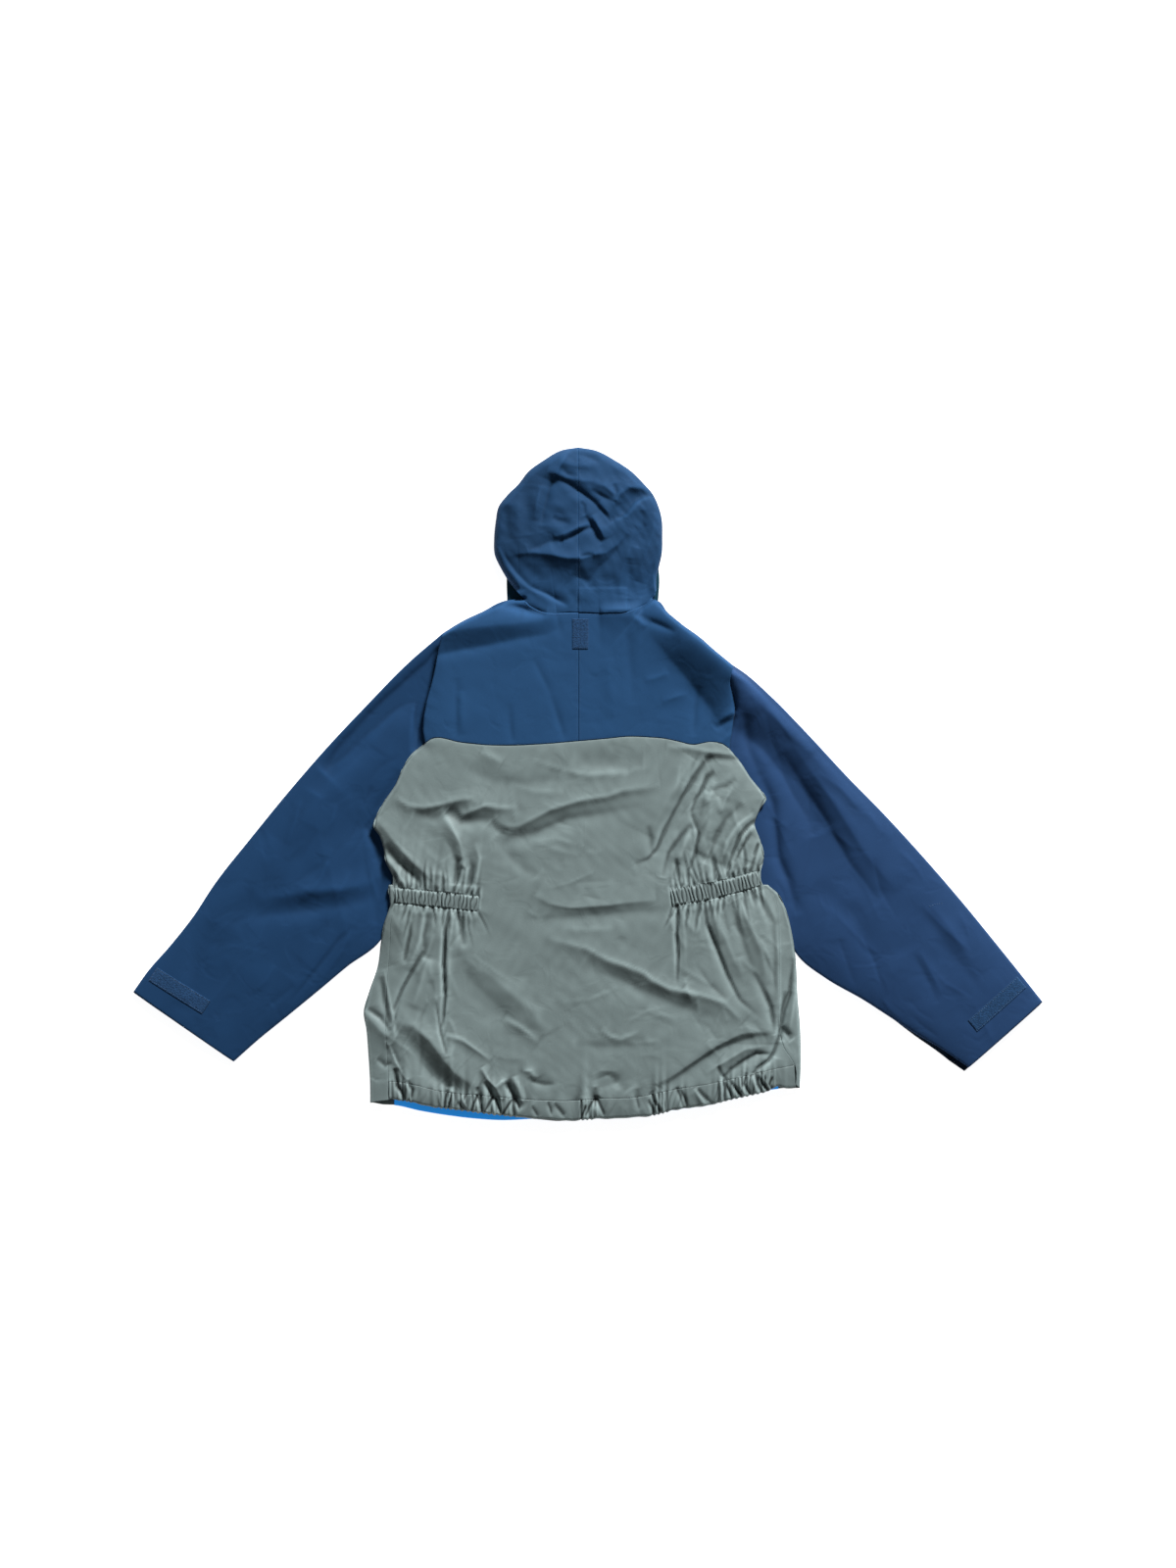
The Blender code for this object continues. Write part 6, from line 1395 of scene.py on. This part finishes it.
HOOD_UP = np.concatenate(([0.0, 0.006, 0.014], np.linspace(0.03, 0.955, 104),
                          [0.97, 0.98, 0.988, 0.994, 0.998, 1.0]))
for side, outline, spans in (("left", HOOD_LEFT, 1), ("right", HOOD_RIGHT, -1)):
    neck = curve(NECK_SEAM, np.linspace(0, 1, 200))
    neck = neck[(neck[:, 0] - CENTRE_X) * spans < 0][::spans]
    shares = np.concatenate((np.linspace(0, 0.985, 118), [0.990, 0.995, 1.0]))
    low = curve(neck, shares) + (0, 0.1)
    high = curve(outline, shares)
    low[-1, 0] = high[-1, 0] = CENTRE_X - 0.25 * spans
    rows = HOOD_UP[:, None, None]
    plan = low[None] * (1 - rows) + high[None] * rows
    height = hood_height(plan[..., 0], plan[..., 1])
    height -= 0.4 * np.exp(-np.abs(plan[..., 0] - CENTRE_X) / 1.3)
    height -= 0.7 * np.exp(-beside(NECK_SEAM, plan[..., 0], plan[..., 1])[0] / 1.8)
    dome = raised(plan, height)
    dome[-1, :, 2] = HOOD_EDGE
    on_throat = np.interp(high[:, 1], (334, 380), (1.0, 0.0))
    dome[:, -1, 0] = CENTRE_X
    allowance = [dome[:, -1] + (0.4 * spans, 0, -1.5), dome[:, -1] + (1.2 * spans, 0, -3.5)]
    dome = np.concatenate((dome, np.stack(allowance, axis=1)), axis=1)
    high = np.concatenate((high, high[-1:] + (0.4 * spans, 0), high[-1:] + (1.2 * spans, 0)))
    on_throat = np.concatenate((on_throat, [0, 0]))
    step = inward(high) * spans
    step[-3:] = (0, -1)
    turn = []
    for reach, throat_reach, rise in ((1.5, 1.65, 1.4), (6.0, 6.6, 0.6), (20.0, 8.0, 0.6)):
        edge = high + step * (reach + (throat_reach - reach) * on_throat)[:, None]
        turn.append(np.column_stack((edge, 1.6 * on_throat + rise)))
    points = np.concatenate((dome, np.stack(turn)))
    x, y = points[..., 0], points[..., 1]
    # Painted light towards the neck and painted shade over the left side above it, added to the crest
    # attribute.
    tone = 1.7 * (1 - ease(y, 285, 335)) - ease(-x, 40, 90) * ease(y, 330, 360)
    half = cloth_piece("hood_" + side + "_cloth", points, flip=spans < 0, wall=0.5, tone=tone)
    half.data.materials.append(NAVY_HOOD)
    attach(half, "root")
    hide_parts("hood_" + side)


# ---- Neck front ----------------------------------------------------------------------------------
# The throat of the hood joins its front edges. It lies flat on the surface under them, in shadow,
# and only its two outer corners show.

THROAT_LEFT = ((-121, 274), (-122, 309), (-121, 330))
THROAT_RIGHT = ((106.5, 274), (108.5, 309), (107, 330))
# Darker than the navy cloth: painted shade, for the shadow under the hood's edges.
THROAT_NAVY = cloth_finish("throat_navy_cloth", (0.013, 0.055, 0.090), roughness=0.85, specular=0.05,
                           sheen=0.0, threads=1500, patches=0.05, slubs=0.05, fold_light_paint=0.05, creases=0.5,
                           crease_size=30.0, crisp=0.3)
rows = np.linspace(0, 1, 40)
sides = [curve(line, rows)[:, None] for line in (THROAT_LEFT, THROAT_RIGHT)]
across = np.linspace(0, 1, 60)[None, :, None]
throat = raised(sides[0] * (1 - across) + sides[1] * across, FRONT_TOP)
neck_front = cloth_piece("neck_front_cloth", throat, wall=0.8)
neck_front.data.materials.append(THROAT_NAVY)
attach(neck_front, "root")
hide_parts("neck_front")


# ---- Neck patch ----------------------------------------------------------------------------------
# A small upright piece of loop tape, stitched round over the yoke's middle seam below the neck.

PATCH = ((-23, 249), (1, 203))
across = np.concatenate(([0, 0.03, 0.07], np.linspace(0.13, 0.87, 14), [0.93, 0.97, 1]))[None, :]
up = np.concatenate(([0, 0.015, 0.035], np.linspace(0.07, 0.93, 26), [0.965, 0.985, 1]))[:, None]
x = PATCH[0][0] + (PATCH[1][0] - PATCH[0][0]) * across + 0 * up
y = PATCH[1][1] + (PATCH[0][1] - PATCH[1][1]) * up + 0 * across
edge = np.minimum(np.minimum(across, 1 - across) * 24, np.minimum(up, 1 - up) * 46)
height = back_height(x, y, YOKE_FOLDS, 0.0) + 0.4 + 0.8 * rolled(edge, 1.0)
height -= 0.5 * np.exp(-((edge - 2.0) / 0.7) ** 2)
patch = cloth_piece("neck_patch_cloth", np.dstack((x, y, height)), wall=0.7)
patch.data.materials.append(LOOP_TAPE)
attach(patch, "root")
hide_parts("neck_patch")


# ---- Stitching -----------------------------------------------------------------------------------
# Lockstitch about 2.6 mm long, in navy thread on the navy cloth and grey thread on the grey. Each
# stitch is a small spindle, sunk a little at its ends where the thread goes through the cloth.

STITCH = 2.6
STITCH_GAP = 0.7
STITCH_RADIUS = 0.24


def thread_finish(name, colour):
    """Sewing thread: a plain colour with a slight shine."""
    finish = bpy.data.materials.new(name)
    finish.use_nodes = True
    shader = finish.node_tree.nodes["Principled BSDF"]
    shader.inputs["Base Color"].default_value = (*colour, 1)
    shader.inputs["Roughness"].default_value = 0.55
    return finish


def stitch_row(line, height_of, shift=0.0):
    """Both ends of every stitch along a smooth line, each end at the height of the cloth there."""
    dense = curve(line, np.linspace(0, 1, 400))
    side = inward(dense)
    dense = dense + side * shift
    length = np.linalg.norm(np.diff(dense, axis=0), axis=1).sum()
    count = max(int(length / (STITCH + STITCH_GAP)), 1)
    starts = np.arange(count) / count + 0.1 / count
    ends = starts + STITCH / (STITCH + STITCH_GAP) / count
    shares = run_shares(dense)
    rows = []
    for places in (starts, ends):
        x, y = (np.interp(places, shares, dense[:, axis]) for axis in (0, 1))
        rows.append(np.column_stack((x, y, height_of(x, y))))
    return np.stack(rows, axis=1)


def stitches(name, rows, finish):
    """One mesh of all the stitches: each has a point at both ends and a four-cornered middle."""
    ends = np.concatenate(rows)
    start, end = ends[:, 0], ends[:, 1]
    middle = (start + end) / 2 + (0, 0, 0.16)
    along = end - start
    along /= np.linalg.norm(along, axis=1)[:, None]
    aside = np.cross(along, (0.0, 0.0, 1.0))
    above = np.cross(aside, along)
    loop = [middle + STITCH_RADIUS * way for way in (aside, above, -aside, -above)]
    points = np.stack([start - (0, 0, 0.1), *loop, end - (0, 0, 0.1)], axis=1)
    pattern = np.array([(0, 2, 1), (0, 3, 2), (0, 4, 3), (0, 1, 4),
                        (5, 1, 2), (5, 2, 3), (5, 3, 4), (5, 4, 1)])
    faces = (pattern[None] + 6 * np.arange(len(points))[:, None, None]).reshape(-1, 3)
    mesh = bpy.data.meshes.new(name)
    mesh.from_pydata(points.reshape(-1, 3) * MM, [], faces.tolist())
    mesh.shade_smooth()
    piece = bpy.data.objects.new(name, mesh)
    bpy.context.scene.collection.objects.link(piece)
    piece.data.materials.append(finish)
    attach(piece, "root")
    return piece


def on_body(x, y):
    """Height of the grey back's face for its stitches."""
    return back_height(x, y, BODY_FOLDS, 1.0) - 0.25


def on_yoke(x, y):
    """Height of the yoke's face for its stitches."""
    return yoke_height(x, y) - 0.1


def on_hood(x, y):
    """Height of the hood's face for its stitches."""
    return hood_height(x, y) - 0.1


GREY_THREAD = thread_finish("grey_thread", (0.19, 0.235, 0.235))
NAVY_THREAD = thread_finish("navy_thread", (0.040, 0.095, 0.190))
inner_yoke = curve(YOKE_SEAM, np.linspace(0.01, 0.99, 60))
stitches("yoke_seam_stitches", [stitch_row(inner_yoke, on_yoke, -1.6)], NAVY_THREAD)
stitches("hem_stitches", [stitch_row(curve(HEM_SEAM, np.linspace(0.005, 0.995, 60)), on_body, -1.5)],
         GREY_THREAD)
middle = [stitch_row(((CENTRE_X + off, 201), (CENTRE_X + off, 136), (CENTRE_X + off, 68)), on_yoke)
          for off in (-2.6, 2.6)]
stitches("yoke_middle_stitches", middle, NAVY_THREAD)
crown = [stitch_row(((CENTRE_X + off, 264), (CENTRE_X + off, 380), (CENTRE_X + off, 497)), on_hood)
         for off in (-2.6, 2.6)]
stitches("hood_middle_stitches", crown, NAVY_THREAD)
stitches("neck_seam_stitches", [stitch_row(curve(NECK_SEAM, np.linspace(0.02, 0.98, 60)), on_yoke, 2.2)],
         NAVY_THREAD)


def on_patch(x, y):
    """Height of the neck patch's face for its stitches."""
    return back_height(x, y, YOKE_FOLDS, 0.0) + 1.05


LIGHT_THREAD = thread_finish("light_navy_thread", (0.130, 0.210, 0.340))
for side, (a, b, c, d) in tape_grids.items():
    rows = []
    for start, end, other in ((a, b, d), (d, c, a)):
        way = (other - start) / np.linalg.norm(other - start) * 2.2
        rows.append(stitch_row((start + way, (start + end) / 2 + way, end + way),
                               lambda x, y: height_near(sleeve_tops[side], x, y) + 0.8))
    stitches("cuff_tape_" + side + "_stitches", rows, LIGHT_THREAD)
mark = stitch_row(((514, -185), (525, -181), (536, -179)),
                  lambda x, y: height_near(sleeve_tops["right"], x, y) + 0.1)
stitches("sleeve_right_stitches", [mark], LIGHT_THREAD)
left, top, right, bottom = PATCH[0][0] + 2, PATCH[0][1] - 2, PATCH[1][0] - 2, PATCH[1][1] + 2
sides = (((left, top), (left, bottom)), ((right, top), (right, bottom)),
         ((left, top), (right, top)), ((left, bottom), (right, bottom)))
rows = [stitch_row(line, on_patch) for line in sides]
stitches("neck_patch_stitches", rows, NAVY_THREAD)


# ---- Surface, light and camera -------------------------------------------------------------------
# The garment lies on white under one large soft light beyond the hood, with a weak fill all round.

scene = bpy.context.scene
scene.view_settings.view_transform = "Standard"
bpy.ops.mesh.primitive_plane_add(size=6, location=(0, 0, -0.0006))
floor = bpy.context.object
floor.name = "floor"
white = bpy.data.materials.new("white_surface")
white.use_nodes = True
shader = white.node_tree.nodes["Principled BSDF"]
shader.inputs["Base Color"].default_value = (0.90, 0.90, 0.90, 1)
shader.inputs["Roughness"].default_value = 1.0
shader.inputs["Specular IOR Level"].default_value = 0.0
shader.inputs["Emission Color"].default_value = (1, 1, 1, 1)
shader.inputs["Emission Strength"].default_value = 0.9
floor.data.materials.append(white)

world = bpy.data.worlds.new("room")
scene.world = world
world.use_nodes = True
sky = world.node_tree.nodes["Background"]
sky.inputs["Color"].default_value = (1, 1, 1, 1)
sky.inputs["Strength"].default_value = 0.11


def soft_light(name, place, target, size, power):
    """A square area light that faces a point."""
    light = bpy.data.lights.new(name, "AREA")
    light.shape = "SQUARE"
    light.size = size
    light.energy = power
    lamp = bpy.data.objects.new(name, light)
    lamp.location = place
    way = np.array(place) - np.array(target)
    lamp.rotation_euler = (np.arccos(way[2] / np.linalg.norm(way)), 0, np.arctan2(way[1], way[0]) + np.pi / 2)
    scene.collection.objects.link(lamp)
    return lamp


soft_light("key", (6.4, 16.0, 8.6), (0, 0, 0), 4.4, 6760)
camera = bpy.data.cameras.new("camera")
camera.lens = 85
camera.sensor_width = 36
camera.sensor_fit = "AUTO"
viewer = bpy.data.objects.new("camera", camera)
viewer.location = (0.0007, 0, 5.591)
scene.collection.objects.link(viewer)
scene.camera = viewer
